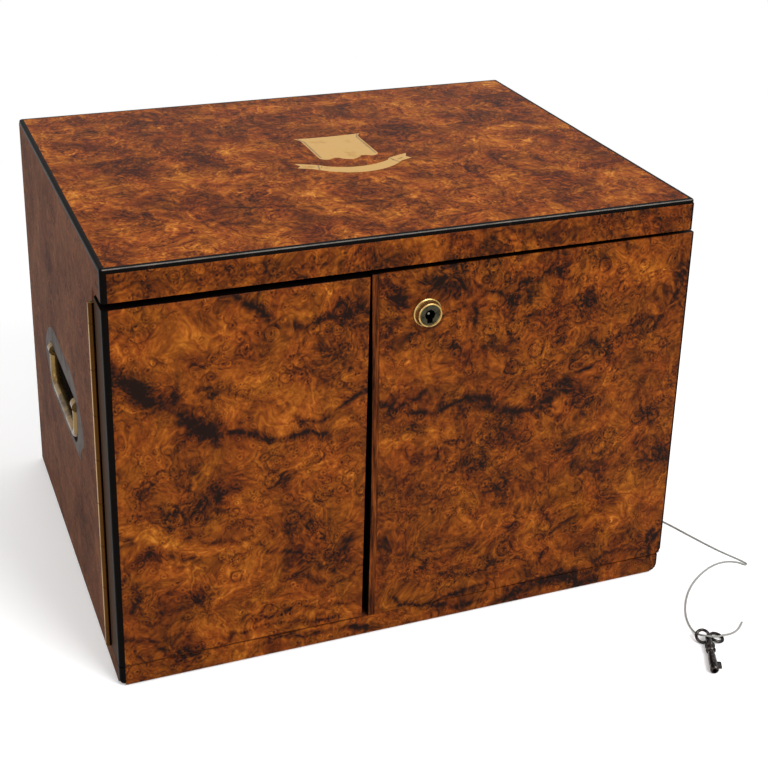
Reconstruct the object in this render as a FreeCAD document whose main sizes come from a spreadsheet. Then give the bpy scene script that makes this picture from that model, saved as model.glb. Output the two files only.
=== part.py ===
"""Victorian burr walnut tabletop cabinet: two unequal doors, flush carrying handles, key on a string.

Millimetres. X runs to the viewer's right, Y from the front to the back, Z up from the table.
The origin is the centre of the outer box, on the surface that the cabinet stands on.
"""
import FreeCAD, Part
import math
import os
import Sketcher
from FreeCAD import Placement, Rotation, Vector

doc = FreeCAD.newDocument("TabletopCabinet")
sheet = doc.addObject("Spreadsheet::Sheet", "Sizes")
parts = {}


class Size:
    """A length that knows its value and the spreadsheet expression that gives it."""

    def __init__(self, value, text):
        self.value = float(value)
        self.text = text

    def __add__(self, other):
        other = as_size(other)
        return Size(self.value + other.value, f"({self.text} + {other.text})")

    def __sub__(self, other):
        other = as_size(other)
        return Size(self.value - other.value, f"({self.text} - {other.text})")

    def __mul__(self, other):
        other = as_size(other)
        return Size(self.value * other.value, f"({self.text} * {other.text})")

    def __truediv__(self, other):
        other = as_size(other)
        return Size(self.value / other.value, f"({self.text} / {other.text})")

    def __radd__(self, other):
        return as_size(other) + self

    def __rsub__(self, other):
        return as_size(other) - self

    def __rmul__(self, other):
        return as_size(other) * self

    def __neg__(self):
        return Size(-self.value, f"(0 - {self.text})")


def as_size(number):
    """A plain number as a Size; a Size stays what it is."""
    return number if isinstance(number, Size) else Size(number, f"({number})")


def cell(alias, value, note):
    """Puts one driving dimension in the spreadsheet."""
    row = cell.row = cell.row + 1
    sheet.set(f"A{row}", note)
    sheet.set(f"B{row}", str(value))
    sheet.setAlias(f"B{row}", alias)
    return Size(value, f"Sizes.{alias}")


cell.row = 0

# Driving dimensions: the case
case_width = cell("case_width", 380, "over the two sides")
case_depth = cell("case_depth", 297.4, "front face to back face")
case_height = cell("case_height", 279, "table to top")
veneer = cell("veneer_thick", 0.9, "saw-cut veneer")
baize = cell("baize_thick", 1.0, "baize under the foot")
side_thick = cell("side_thick", 16, "side with its veneer")
back_thick = cell("back_thick", 10, "back panel")
top_thick = cell("top_thick", 16, "top board under its veneer")
rail_height = cell("rail_height", 20.8, "fixed rail above the doors, to the top")
plinth_height = cell("plinth_height", 13.8, "plinth below the doors")
edge_size = cell("edge_size", 3.0, "ebonised moulding round the top, square section")
edge_round = cell("edge_round", 1.5, "rounding of that moulding")
corner_round = cell("corner_round", 2.4, "rounding of that moulding at the four corners of the top")
bead_depth = cell("bead_depth", 5.0, "ebonised corner bead, along the side")
bead_left = cell("bead_left", 3.6, "left-hand bead across the front")
bead_right = cell("bead_right", 1.6, "right-hand bead across the front, planed thinner")
arris_left = cell("arris_left", 2.4, "rounding of the left-hand bead")
arris_right = cell("arris_right", 1.1, "rounding of the right-hand bead")
plinth_bend_left = cell("plinth_bend_left", 3.4, "plinth's lower left corner, seen from the front")
plinth_bend_right = cell("plinth_bend_right", 5.5, "plinth's lower right corner")
door_bend = cell("door_bend", 4.0, "wide door's lower outer corner")

# Driving dimensions: the doors
door_thick = cell("door_thick", 25, "door with its veneer")
joint_gap = cell("joint_gap", 0.5, "between a shut door and the case")
narrow_head_gap = cell("narrow_head_gap", 4.4, "above the narrow door")
narrow_foot_gap = cell("narrow_foot_gap", 1.0, "below the narrow door")
wide_head_gap = cell("wide_head_gap", 2.1, "above the wide door, at its hinge")
wide_foot_gap = cell("wide_foot_gap", 1.3, "below the wide door, at its hinge")
door_sag = cell("door_sag", 1.0, "drop of the wide door's free end")
door_proud = cell("door_proud", 2.0, "wide door beyond the side of the case")
narrow_head = cell("narrow_door_head", 159.7, "narrow door's width at its head")
narrow_foot = cell("narrow_door_foot", 158.5, "narrow door's width at its foot")
meeting_gap_head = cell("meeting_gap_head", 1.0, "between the doors at the top")
meeting_gap_foot = cell("meeting_gap_foot", 4.3, "between the doors at the foot")
free_edge_bow = cell("free_edge_bow", 5930, "radius of the wide door's bowed meeting edge")
hidden_lipping = cell("hidden_lipping", 2.5, "narrow door's edge strip, behind its veneer")
lipping = cell("lipping_thick", 4.5, "wide door's edge strip, open to the front")

# Driving dimensions: the piano hinges
barrel_radius = cell("barrel_radius", 2.25, "hinge knuckle")
pin_radius = cell("pin_radius", 1.0, "hinge pin")
pin_clearance = cell("pin_clearance", 0.05, "running clearance round the pin")
hinge_out = cell("hinge_out", 1.2, "pin centre outside the case side")
leaf_thick = cell("leaf_thick", 1.2, "hinge leaf")
leaf_width = cell("leaf_width", 12.5, "pin centre to the inner edge of a leaf")
hinge_foot = cell("hinge_foot", 15.2, "lower end of the hinge")
end_knuckle = cell("end_knuckle", 13.0, "short knuckle at each end, with its gap")
knuckle_pitch = cell("knuckle_pitch", 29.8, "one full knuckle with its gap")
knuckle_gap = cell("knuckle_gap", 0.35, "gap between two knuckles")
barrel_room = cell("barrel_room", 0.5, "cove round the barrel")
knuckle_count = 9
screws_per_leaf = 4

# Driving dimensions: wood screws
screw_head = cell("screw_head", 2.4, "countersunk head, radius")
screw_shank = cell("screw_shank", 1.2, "shank, radius")
screw_long = cell("screw_long", 9, "shank below the head")

# Driving dimensions: carrying handles
handle_mid = cell("handle_mid", 14, "centre of the handle along Y")
handle_pivot = cell("handle_pivot", 138, "height of the bail's pivots")
plate_thick = cell("plate_thick", 1.6, "flush brass plate")
cup_half = cell("cup_half", 50, "half length of the finger cup")
cup_head = cell("cup_head", 143, "upper edge of the cup")
cup_foot = cell("cup_foot", 108, "lower edge of the cup")
cup_head_bend = cell("cup_head_bend", 3.5, "upper corners of the cup's mouth")
cup_foot_bend = cell("cup_foot_bend", 14, "lower corners of the cup's mouth")
cup_depth = cell("cup_depth", 12, "cup below the side's face, with its wall")
cup_wall = cell("cup_wall", 1, "wall of the cup")
bail_radius = cell("bail_radius", 3.2, "round bar of the bail")
bail_half = cell("bail_half", 44.5, "half distance between the bail's legs")
bail_drop = cell("bail_drop", 24.5, "pivots to the grip")
bail_bend = cell("bail_bend", 11, "bend between leg and grip")
boss_radius = cell("boss_radius", 4.0, "eye of the bail")
boss_long = cell("boss_long", 7, "eye along its pivot")
pivot_in = cell("pivot_in", 1.5, "pivot line below the side's face")
pivot_radius = cell("pivot_radius", 1.5, "pivot pin")

# Driving dimensions: lock and bolts
lock_across = cell("lock_across", 7, "keyhole right of the middle")
lock_height = cell("lock_height", 226, "height of the keyhole")
nozzle_proud = cell("nozzle_proud", 5.4, "nozzle in front of the door")
nozzle_radius = cell("nozzle_radius", 9.2, "flange of the nozzle")
rim_radius = cell("rim_radius", 7.8, "front rim of the nozzle, outside")
keyway_sunk = cell("keyway_sunk", 0.8, "steel keyway behind the nozzle's rim")
keyhole_radius = cell("keyhole_radius", 3.3, "round part of the keyhole")
keyhole_half = cell("keyhole_half", 1.8, "half width of the keyhole's slot")
keyhole_foot = cell("keyhole_foot", 5.4, "slot below the keyhole's middle")
shank_radius = cell("shank_radius", 8, "nozzle inside the door")
barrel_bore = cell("barrel_bore", 6.5, "steel keyway inside the nozzle")
lock_half = cell("lock_half", 22, "half width of the lock's box")
lock_foot = cell("lock_foot", 209, "lower edge of the lock's box")
lock_deep = cell("lock_deep", 12, "box in the door's thickness")
lock_wall = cell("lock_wall", 1.2, "wall of the lock")
drill_pin_radius = cell("drill_pin_radius", 0.75, "pin that the pipe key turns on")
bolt_half = cell("bolt_half", 7, "half width of the lock bolt")
bolt_thick = cell("bolt_thick", 5, "lock bolt")
bolt_travel = cell("bolt_travel", 9, "throw of the lock bolt")
flush_across = cell("flush_across", -45, "flush bolts on the narrow door")
flush_radius = cell("flush_radius", 2.5, "rod of a flush bolt")
flush_long = cell("flush_long", 34, "rod of a flush bolt")

# Driving dimensions: inside
divider_thick = cell("divider_thick", 10, "upright between the compartments")
divider_mid = cell("divider_mid", -28.5, "middle of the upright")
shelf_height = cell("shelf_height", 132, "underside of the shelf")
shelf_thick = cell("shelf_thick", 7, "shelf")
shelf_back = cell("shelf_back", 9, "front of the shelf behind the case's front edge")
lining_thick = cell("lining_thick", 1, "cloth on the compartment floors")

# Driving dimensions: brass on the top
inlay_across = cell("inlay_across", 9, "shield right of the middle")
shield_tip = cell("shield_tip", -4.7, "point of the shield along Y")

# Driving dimensions: key and string
string_radius = cell("string_radius", 0.6, "cotton string")
key_axis_height = cell("key_axis_height", 3.1, "axis of the key above the table")
loop_radius = cell("loop_radius", 4.2, "loops of the key's bow, to the middle of the bar")
loop_bar = cell("loop_bar", 1.0, "bar of those loops, radius")

doc.recompute()

# Planes worked out from the driving dimensions
half_width = case_width / 2
front = nozzle_proud - (case_depth + nozzle_proud) / 2
back = front + case_depth
wood_front = front + veneer
door_back = front + door_thick
case_face = door_back + joint_gap
joint = door_back + joint_gap / 2
board_top = case_height - veneer
top_under = board_top - top_thick
rail_foot = case_height - rail_height
moulding_foot = case_height - edge_size
inner_half = half_width - side_thick
core_half = half_width - veneer
inner_back = back - back_thick
pin_out = half_width + hinge_out
hinge_long = end_knuckle * 2 + knuckle_pitch * (knuckle_count - 2)
door_head = rail_foot - narrow_head_gap
door_foot = plinth_height + narrow_foot_gap
left_free_head = -half_width + narrow_head
left_free_foot = -half_width + narrow_foot
right_free_head = left_free_head + meeting_gap_head
right_free_foot = left_free_foot + meeting_gap_foot
right_edge = half_width + door_proud
wide_head = rail_foot - wide_head_gap
wide_foot = plinth_height + wide_foot_gap
sag_slope = door_sag / (right_edge - right_free_foot)


def bind(thing, name, size):
    """Gives a property its value, and its expression where a driving dimension is in it."""
    size = as_size(size)
    if "Sizes." in size.text:
        thing.setExpression(name, size.text)
    else:
        setattr(thing, name, size.value)


def keep(label, thing):
    """Registers a finished sub-part under its node name."""
    thing.Label = label
    parts[label] = thing
    return thing


def block(label, x_range, y_range, z_range):
    """A rectangular solid between three pairs of coordinates."""
    box = doc.addObject("Part::Box", label)
    for side, axis, (low, high) in zip(("Length", "Width", "Height"), "xyz", (x_range, y_range, z_range)):
        bind(box, side, as_size(high) - low)
        box.setExpression(f"Placement.Base.{axis}", as_size(low).text)
    return box


def rod(label, radius, start, length, axis=(0, 0, 1)):
    """A cylinder from a start point along an axis."""
    round_bar = doc.addObject("Part::Cylinder", label)
    bind(round_bar, "Radius", radius)
    bind(round_bar, "Height", length)
    round_bar.Placement = Placement(Vector(), Rotation(Vector(0, 0, 1), Vector(*axis)))
    for name, value in zip("xyz", start):
        round_bar.setExpression(f"Placement.Base.{name}", as_size(value).text)
    return round_bar


def cone(label, radius_start, radius_end, start, length, axis):
    """A frustum from a start point along an axis."""
    taper = doc.addObject("Part::Cone", label)
    bind(taper, "Radius1", radius_start)
    bind(taper, "Radius2", radius_end)
    bind(taper, "Height", length)
    taper.Placement = Placement(Vector(), Rotation(Vector(0, 0, 1), Vector(*axis)))
    for name, value in zip("xyz", start):
        taper.setExpression(f"Placement.Base.{name}", as_size(value).text)
    return taper


def join(label, pieces):
    """One solid from several that touch or overlap."""
    union = doc.addObject("Part::MultiFuse", label)
    union.Shapes = pieces
    union.Refine = True
    return union


def group(label, pieces):
    """Separate solids kept in one node."""
    compound = doc.addObject("Part::Compound", label)
    compound.Links = pieces
    return compound


def cut(label, base, tools):
    """A solid less its tools."""
    result = doc.addObject("Part::Cut", label)
    result.Base = base
    if len(tools) == 1:
        result.Tool = tools[0]
    else:
        result.Tool = join(label + "_tools", tools)
    return result


def origin_plane(body, role):
    """One of a body's own origin planes."""
    return next(f for f in body.Origin.OriginFeatures if f.Role == role)


class Outline:
    """A closed or open run of lines and arcs, as points in a sketch's own plane."""

    def __init__(self, first_x, first_y):
        self.points = [(as_size(first_x), as_size(first_y))]
        self.bends = []

    def line(self, x, y):
        """Straight on to a point."""
        self.points.append((as_size(x), as_size(y)))
        self.bends.append(None)
        return self

    def arc(self, x, y, radius, side):
        """By the shorter arc to a point; side is 1 if its centre lies left of the way, -1 if right."""
        self.points.append((as_size(x), as_size(y)))
        self.bends.append((as_size(radius), side))
        return self


class Circle:
    """A full circle in a sketch."""

    def __init__(self, x, y, radius):
        self.x, self.y, self.radius = as_size(x), as_size(y), as_size(radius)


def arc_between(start, end, radius, side):
    """The shorter arc of a radius between two points, its centre on the given side of the way."""
    way = end - start
    half = way.Length / 2
    across = Vector(-way.y, way.x, 0) / way.Length
    to_centre = math.sqrt(max(radius ** 2 - half ** 2, 0)) * side
    centre = (start + end) / 2 + across * to_centre
    mid = centre - across * radius * side
    return Part.Arc(start, mid, end)


def sketch_end(sketch, index, point):
    """Which end of an edge lies at a point: 1 its start, 2 its end."""
    return next(end for end in (1, 2) if (sketch.getPoint(index, end) - point).Length < 1e-5)


def tie_point(sketch, index, end, point):
    """Holds one end of an edge at its place from the sketch's origin."""
    for kind, size in zip(("DistanceX", "DistanceY"), point):
        number = sketch.addConstraint(Sketcher.Constraint(kind, -1, 1, index, end, size.value))
        if "Sizes." in size.text:
            sketch.setExpression(f"Constraints[{number}]", size.text)


def draw_outline(sketch, outline, closed):
    """Adds an outline's edges and the constraints that hold them."""
    places = [Vector(x.value, y.value, 0) for x, y in outline.points]
    edges = []
    for start, end, bend in zip(places, places[1:], outline.bends):
        if bend is None:
            edge = Part.LineSegment(start, end)
        else:
            edge = arc_between(start, end, bend[0].value, bend[1])
        edges.append(sketch.addGeometry(edge, False))
    for number, index in enumerate(edges):
        start = places[number]
        tie_point(sketch, index, sketch_end(sketch, index, start), outline.points[number])
        bend = outline.bends[number]
        if bend is not None:
            radius = sketch.addConstraint(Sketcher.Constraint("Radius", index, bend[0].value))
            if "Sizes." in bend[0].text:
                sketch.setExpression(f"Constraints[{radius}]", bend[0].text)
    pairs = list(zip(edges, edges[1:])) + ([(edges[-1], edges[0])] if closed else [])
    corners = places[1:]
    for (before, after), corner in zip(pairs, corners):
        sketch.addConstraint(Sketcher.Constraint("Coincident", before, sketch_end(sketch, before, corner),
                                                 after, sketch_end(sketch, after, corner)))
    if not closed:
        last = edges[-1]
        tie_point(sketch, last, sketch_end(sketch, last, places[-1]), outline.points[-1])


def draw_circle(sketch, circle):
    """Adds a circle held by its centre and radius."""
    centre = Vector(circle.x.value, circle.y.value, 0)
    index = sketch.addGeometry(Part.Circle(centre, Vector(0, 0, 1), circle.radius.value), False)
    tie_point(sketch, index, 3, (circle.x, circle.y))
    number = sketch.addConstraint(Sketcher.Constraint("Radius", index, circle.radius.value))
    if "Sizes." in circle.radius.text:
        sketch.setExpression(f"Constraints[{number}]", circle.radius.text)


def make_sketch(body, plane, offset, figures, shift=(0, 0), closed=True):
    """A sketch on a body's origin plane, moved along its normal and within the plane."""
    sketch = body.newObject("Sketcher::SketchObject", f"{body.Name}_sketch")
    sketch.AttachmentSupport = [(origin_plane(body, plane), "")]
    sketch.MapMode = "FlatFace"
    for axis, value in zip("xyz", (*shift, offset)):
        sketch.setExpression(f"AttachmentOffset.Base.{axis}", as_size(value).text)
    for figure in figures:
        if isinstance(figure, Circle):
            draw_circle(sketch, figure)
        else:
            draw_outline(sketch, figure, closed)
    return sketch


def slab(label, plane, low, high, figures):
    """A body padded from a sketch between two coordinates along the plane's axis.

    XY sketches run along Z, YZ sketches along X, and XZ sketches along Y.
    """
    body = doc.addObject("PartDesign::Body", label)
    low, high = as_size(low), as_size(high)
    offset = -high if plane == "XZ_Plane" else low
    sketch = make_sketch(body, plane, offset, figures)
    pad = body.newObject("PartDesign::Pad", f"{label}_pad")
    pad.Profile = (sketch, [""])
    bind(pad, "Length", high - low)
    return body


def add_pad(body, plane, low, high, figures):
    """A second pad on a body, between two coordinates along the plane's axis."""
    low, high = as_size(low), as_size(high)
    offset = -high if plane == "XZ_Plane" else low
    sketch = make_sketch(body, plane, offset, figures)
    pad = body.newObject("PartDesign::Pad", f"{body.Name}_pad")
    pad.Profile = (sketch, [""])
    bind(pad, "Length", high - low)
    return pad


def revolve(label, plane, offset, shift, outline):
    """A body turned from a half section round its sketch's vertical axis."""
    body = doc.addObject("PartDesign::Body", label)
    sketch = make_sketch(body, plane, offset, [outline], shift)
    turned = body.newObject("PartDesign::Revolution", f"{label}_turned")
    turned.Profile = (sketch, [""])
    turned.ReferenceAxis = (sketch, ["V_Axis"])
    turned.Angle = 360
    return body


def rectangle(low_x, high_x, low_y, high_y):
    """A rectangular outline."""
    return Outline(low_x, low_y).line(high_x, low_y).line(high_x, high_y).line(low_x, high_y).line(low_x, low_y)


def screw(label, head, axis):
    """A countersunk wood screw whose head is flush at a point, driven along an axis."""
    step = [as_size(c) + leaf_thick * a for c, a in zip(head, axis)]
    sink = cone(label + "_head", screw_head, screw_shank, head, leaf_thick, axis)
    shank = rod(label + "_shank", screw_shank, step, screw_long, axis)
    return join(label, [sink, shank])


def round_edges(strip, wanted, radius):
    """Fillets the edges of a body that a test picks out."""
    names = [f"Edge{n}" for n, edge in enumerate(strip.Shape.Edges, 1) if wanted(edge)]
    blank = strip.Tip
    fillet = strip.newObject("PartDesign::Fillet", f"{strip.Name}_round")
    fillet.Base = (blank, names)
    bind(fillet, "Radius", radius)


def bead_outline(side, low, high, outer, with_corner):
    """A corner bead seen from the front. Where its foot bends further than it is wide it is a quarter
    ring there; with_corner squares the outside off, for the seat that it is glued into.
    """
    width, bend = side.width, side.bend
    inner, turned = outer - width * side.way, outer - bend * side.way
    figure = Outline(outer, high)
    if with_corner:
        figure.line(outer, low).line(turned, low)
    else:
        figure.line(outer, low + bend).arc(turned, low, bend, -side.way)
    if bend.value > width.value:
        figure.line(turned, low + width).arc(inner, low + bend, bend - width, side.way)
    else:
        figure.line(inner, low)
    return figure.line(inner, high).line(outer, high)


class BeadSide:
    """What differs between the corner beads: which side, width, rounding and the bend at the foot."""

    def __init__(self, way, width, arris, bend=None):
        self.way, self.width, self.arris, self.bend = way, width, arris, bend


def corner_bead(label, side, low, high, outer):
    """An ebonised strip up a front corner, rounded at its arris."""
    seat_y = (front, front + bead_depth)
    if side.bend is None:
        pair = sorted((as_size(outer), outer - side.width * side.way), key=lambda edge: edge.value)
        bead = slab(label, "XZ_Plane", *seat_y, [rectangle(*pair, low, high)])
        seat = block(f"{label}_seat", pair, seat_y, (low, high))
    else:
        bead = slab(label, "XZ_Plane", *seat_y, [bead_outline(side, low, high, outer, False)])
        seat = slab(f"{label}_seat", "XZ_Plane", *seat_y, [bead_outline(side, low, high, outer, True)])
    doc.recompute()

    def on_arris(edge):
        box = edge.BoundBox
        if max(abs(box.YMin - front.value), abs(box.YMax - front.value)) > 1e-4:
            return False
        if isinstance(edge.Curve, Part.Circle):
            return abs(edge.Curve.Radius - side.bend.value) < 1e-4
        return abs(box.XMin - outer.value) < 1e-4 and abs(box.XMax - outer.value) < 1e-4

    round_edges(bead, on_arris, side.arris)
    return bead, seat


def make_inlay():
    """The shield and the ribbon, cut from brass sheet as thick as the veneer."""
    def at(x, y):
        return inlay_across + x, shield_tip + y

    shield = Outline(*at(0, -1.2)).arc(*at(8.0, 4.4), 10, 1).arc(*at(14.8, 2.4), 7, -1)
    shield.arc(*at(21.2, 6.8), 5.5, 1).line(*at(21.2, 44)).arc(*at(24.6, 51.8), 12, -1)
    shield.arc(*at(-24.6, 51.8), 250, -1).arc(*at(-21.2, 44), 12, -1).line(*at(-21.2, 6.8))
    shield.arc(*at(-14.8, 2.4), 5.5, 1).arc(*at(-8.0, 4.4), 7, -1).arc(*at(0, -1.2), 10, 1)
    ribbon = Outline(*at(-40.8, 0.4)).line(*at(-26.4, -6.4)).line(*at(-23.4, -9.6))
    ribbon.arc(*at(22.4, -9.6), 39.5, 1).line(*at(24.6, -5.8)).line(*at(39.4, 0.4))
    ribbon.line(*at(36.8, -6.2)).line(*at(39.6, -10.0)).line(*at(31.0, -13.6)).line(*at(28.2, -16.4))
    ribbon.arc(*at(-28.6, -16.4), 39.5, -1).line(*at(-32.2, -13.6))
    ribbon.line(*at(-41.4, -8.9)).line(*at(-38.4, -5.2)).line(*at(-40.8, 0.4))
    folds = []
    for way in (-1, 1):
        folds.append(Outline(*at(24.6 * way, -10.0)).line(*at(25.6 * way, -10.6)).line(*at(26.4 * way, -13.4))
                     .line(*at(24.6 * way, -10.0)))
        folds.append(Outline(*at(28.4 * way, -10.4)).line(*at(33.8 * way, -7.4)).line(*at(32.6 * way, -9.2))
                     .line(*at(28.4 * way, -10.4)))
    blanks = [slab("shield_inlay", "XY_Plane", board_top, case_height, [shield]),
              slab("ribbon_blank", "XY_Plane", board_top, case_height, [ribbon])]
    piercing = slab("ribbon_folds", "XY_Plane", board_top, case_height, folds)
    keep("shield_inlay", blanks[0])
    keep("ribbon_inlay", cut("ribbon_inlay", blanks[1], [piercing]))
    return blanks


def on_outer_rim(edge):
    """True for an edge that runs round the top's outer upper side."""
    box = edge.BoundBox
    top = case_height.value
    mid = edge.valueAt((edge.FirstParameter + edge.LastParameter) / 2)
    reach = max(abs(mid.x) - half_width.value, front.value - mid.y, mid.y - back.value)
    return abs(box.ZMin - top) < 1e-4 and abs(box.ZMax - top) < 1e-4 and reach > -0.5


def top_mouldings():
    """The four ebonised strips round the top, mitred at the corners and rounded outside."""
    diagonal = corner_round * (1 - math.sqrt(0.5))
    corners = {"left": -half_width, "right": half_width, "front": front, "back": back}
    for name, fixed in corners.items():
        along_x = name in ("front", "back")
        inward = 1 if name in ("left", "front") else -1
        ends = (-half_width, half_width) if along_x else (front, back)
        low, high = ends

        def at(along, across):
            return (along, fixed + inward * across) if along_x else (fixed + inward * across, along)

        turn = inward if along_x else -inward
        figure = Outline(*at(low + edge_size, edge_size)).line(*at(low + diagonal, diagonal))
        figure.arc(*at(low + corner_round, 0), corner_round, turn).line(*at(high - corner_round, 0))
        figure.arc(*at(high - diagonal, diagonal), corner_round, turn).line(*at(high - edge_size, edge_size))
        figure.line(*at(low + edge_size, edge_size))
        label = f"edge_moulding_{name}"
        strip = slab(label, "XY_Plane", moulding_foot, case_height, [figure])
        doc.recompute()
        round_edges(strip, on_outer_rim, edge_round)
        keep(label, strip)


def handle_plate_outline():
    """The flush handle's plate: straight head, swept shoulders, a cusp and a point at each lower corner."""
    def at(y, z):
        return handle_mid + y, handle_pivot + z

    figure = Outline(*at(-26, 20)).arc(*at(-74, -10), 53.4, 1).arc(*at(-70, -18.5), 9, 1)
    figure.arc(*at(-56, -35), 26, -1).line(*at(56, -35)).arc(*at(70, -18.5), 26, -1)
    figure.arc(*at(74, -10), 9, 1).arc(*at(26, 20), 53.4, 1).line(*at(-26, 20))
    return figure


def cup_outline(shrink):
    """The finger cup's mouth: small bends above, wide ones below."""
    low, high = handle_mid - cup_half + shrink, handle_mid + cup_half - shrink
    head, foot = cup_head - shrink, cup_foot + shrink
    small, wide = cup_head_bend - shrink, cup_foot_bend - shrink
    figure = Outline(low + small, head).arc(low, head - small, small, 1).line(low, foot + wide)
    figure.arc(low + wide, foot, wide, 1).line(high - wide, foot).arc(high, foot + wide, wide, 1)
    figure.line(high, head - small).arc(high - small, head, small, 1).line(low + small, head)
    return figure


def handle_range(side, outer, inner):
    """A pair of X coordinates, low then high, from two depths below the side's face."""
    a = side * (half_width - outer)
    b = side * (half_width - inner)
    return (a, b) if a.value < b.value else (b, a)


def make_handle(name, side):
    """One flush carrying handle. Returns the solids that the side is cut with."""
    plate = slab(f"handle_plate_{name}", "YZ_Plane", *handle_range(side, 0, plate_thick),
                 [handle_plate_outline()])
    add_pad(plate, "YZ_Plane", *handle_range(side, plate_thick / 2, cup_depth), [cup_outline(-cup_wall)])
    mouth = handle_range(side, 0, cup_depth - cup_wall)
    hollow = slab(f"cup_hollow_{name}", "YZ_Plane", *mouth, [cup_outline(0)])
    pins, hitches = [], []
    pivot_x = side * (half_width - pivot_in)
    for end, way in (("front", -1), ("rear", 1)):
        wall = handle_mid + way * (cup_half + cup_wall / 2)
        pins.append(rod(f"handle_pin_{name}_{end}", pivot_radius, (pivot_x, wall, handle_pivot), 8.5, (0, -way, 0)))
    screws = []
    for number, (y, z) in enumerate(((-61, 1.5), (61, 1.5), (-60, -19), (60, -19))):
        head = (side * half_width, handle_mid + y, handle_pivot + z)
        screws.append(screw(f"handle_screw_{name}_{number}", head, (-side, 0, 0)))
    plate_cut = cut(f"handle_plate_{name}_cut", plate, [hollow, *pins, *screws])
    keep(f"handle_plate_{name}", plate_cut)
    plate.Label = f"handle_plate_blank_{name}"
    keep(f"bail_{name}", make_bail(name, side, pivot_x))
    plate_seat = slab(f"plate_seat_{name}", "YZ_Plane", *handle_range(side, 0, plate_thick),
                      [handle_plate_outline()])
    cup_seat = slab(f"cup_seat_{name}", "YZ_Plane", *handle_range(side, 0, cup_depth), [cup_outline(-cup_wall)])
    return plate_seat, cup_seat, pins, screws


def make_bail(name, side, pivot_x):
    """The swinging grip: a round bar bent to a U, with an eye on each pivot pin."""
    foot = handle_pivot - bail_drop
    low, high = handle_mid - bail_half, handle_mid + bail_half
    path = Outline(low, handle_pivot).line(low, foot + bail_bend).arc(low + bail_bend, foot, bail_bend, 1)
    path.line(high - bail_bend, foot).arc(high, foot + bail_bend, bail_bend, 1).line(high, handle_pivot)
    body = doc.addObject("PartDesign::Body", f"bail_bar_{name}")
    spine = make_sketch(body, "YZ_Plane", pivot_x, [path], closed=False)
    section = make_sketch(body, "XY_Plane", handle_pivot, [Circle(pivot_x, low, bail_radius)])
    doc.recompute()
    bar = body.newObject("PartDesign::AdditivePipe", f"bail_pipe_{name}")
    bar.Profile = (section, [""])
    bar.Spine = (spine, [f"Edge{n + 1}" for n in range(len(spine.Shape.Edges))])
    eyes, bores = [], []
    for end, way in (("front", -1), ("rear", 1)):
        start = (pivot_x, handle_mid + way * (bail_half - boss_long / 2), handle_pivot)
        eyes.append(rod(f"eye_{name}_{end}", boss_radius, start, boss_long, (0, way, 0)))
        bores.append(rod(f"eye_bore_{name}_{end}", pivot_radius + pin_clearance, start, boss_long, (0, way, 0)))
    return cut(f"bail_{name}", join(f"bail_{name}_solid", [body, *eyes]), bores)


def knuckle_edge(number):
    """The height of the joint under a knuckle, counted from the foot of the hinge."""
    if number == 0:
        return hinge_foot
    if number == knuckle_count:
        return hinge_foot + hinge_long
    return hinge_foot + end_knuckle + knuckle_pitch * (number - 1)


def make_hinges():
    """Two piano hinges: leaves pressed round a pin, their knuckles taken out in turn."""
    screws = {}
    for name, side in (("left", -1), ("right", 1)):
        axis_x = side * pin_out
        leaf_inner = axis_x - side * leaf_width
        clear_inner = axis_x - side * (barrel_radius + 0.4)
        clear_outer = axis_x + side * (barrel_radius + 1)
        zone = sorted((clear_outer, clear_inner), key=lambda s: s.value)
        for leaf, face, into in (("case", case_face, 1), ("door", door_back, -1)):
            near, far = (face, face + leaf_thick) if into > 0 else (face - leaf_thick, face)
            across = sorted((axis_x, leaf_inner), key=lambda s: s.value)
            label = f"hinge_leaf_{leaf}_{name}"
            strip = slab(f"{label}_strip", "XY_Plane", hinge_foot, hinge_foot + hinge_long,
                         [rectangle(*across, near, far)])
            barrel = rod(f"{label}_barrel", barrel_radius, (axis_x, joint, hinge_foot), hinge_long)
            bore = pin_radius if leaf == "case" else pin_radius + pin_clearance
            pin_way = rod(f"{label}_pin_way", bore, (axis_x, joint, hinge_foot), hinge_long)
            first_gap = 1 if leaf == "case" else 0
            gaps = []
            for number in range(first_gap, knuckle_count, 2):
                gaps.append(block(f"{label}_gap_{number}", zone,
                                  (joint - barrel_radius - 1, joint + barrel_radius + 1),
                                  (knuckle_edge(number) - knuckle_gap / 2,
                                   knuckle_edge(number + 1) + knuckle_gap / 2)))
            screw_x = axis_x - side * (leaf_width - 4.6)
            rows = []
            for number in range(screws_per_leaf):
                z = hinge_foot + hinge_long * ((number + 0.5) / screws_per_leaf)
                head_y = case_face if into > 0 else door_back
                rows.append(screw(f"{label}_screw_{number}", (screw_x, head_y, z), (0, into, 0)))
            screws[leaf, name] = rows
            solid = join(f"{label}_solid", [strip, barrel])
            keep(label, cut(label, solid, [pin_way, *gaps, *rows]))
        keep(f"hinge_pin_{name}",
             rod(f"hinge_pin_{name}", pin_radius, (axis_x, joint, hinge_foot - 0.4), hinge_long + 0.8))
    keep("hinge_screws_case", group("hinge_screws_case", screws["case", "left"] + screws["case", "right"]))
    keep("hinge_screws_door_left", group("hinge_screws_door_left", screws["door", "left"]))
    keep("hinge_screws_door_right", group("hinge_screws_door_right", screws["door", "right"]))
    return screws


def hinge_cove(label, side, low, high):
    """The hollow that a hinge barrel turns in."""
    return rod(label, barrel_radius + barrel_room, (side * pin_out, joint, low), high - low)


def leaf_seat(label, side, near, far):
    """The shallow rebate under a hinge leaf."""
    edge, inner = side * right_edge, side * (pin_out - leaf_width)
    across = (edge, inner) if side < 0 else (inner, edge)
    return block(label, across, (near, far), (hinge_foot, hinge_foot + hinge_long))


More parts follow.
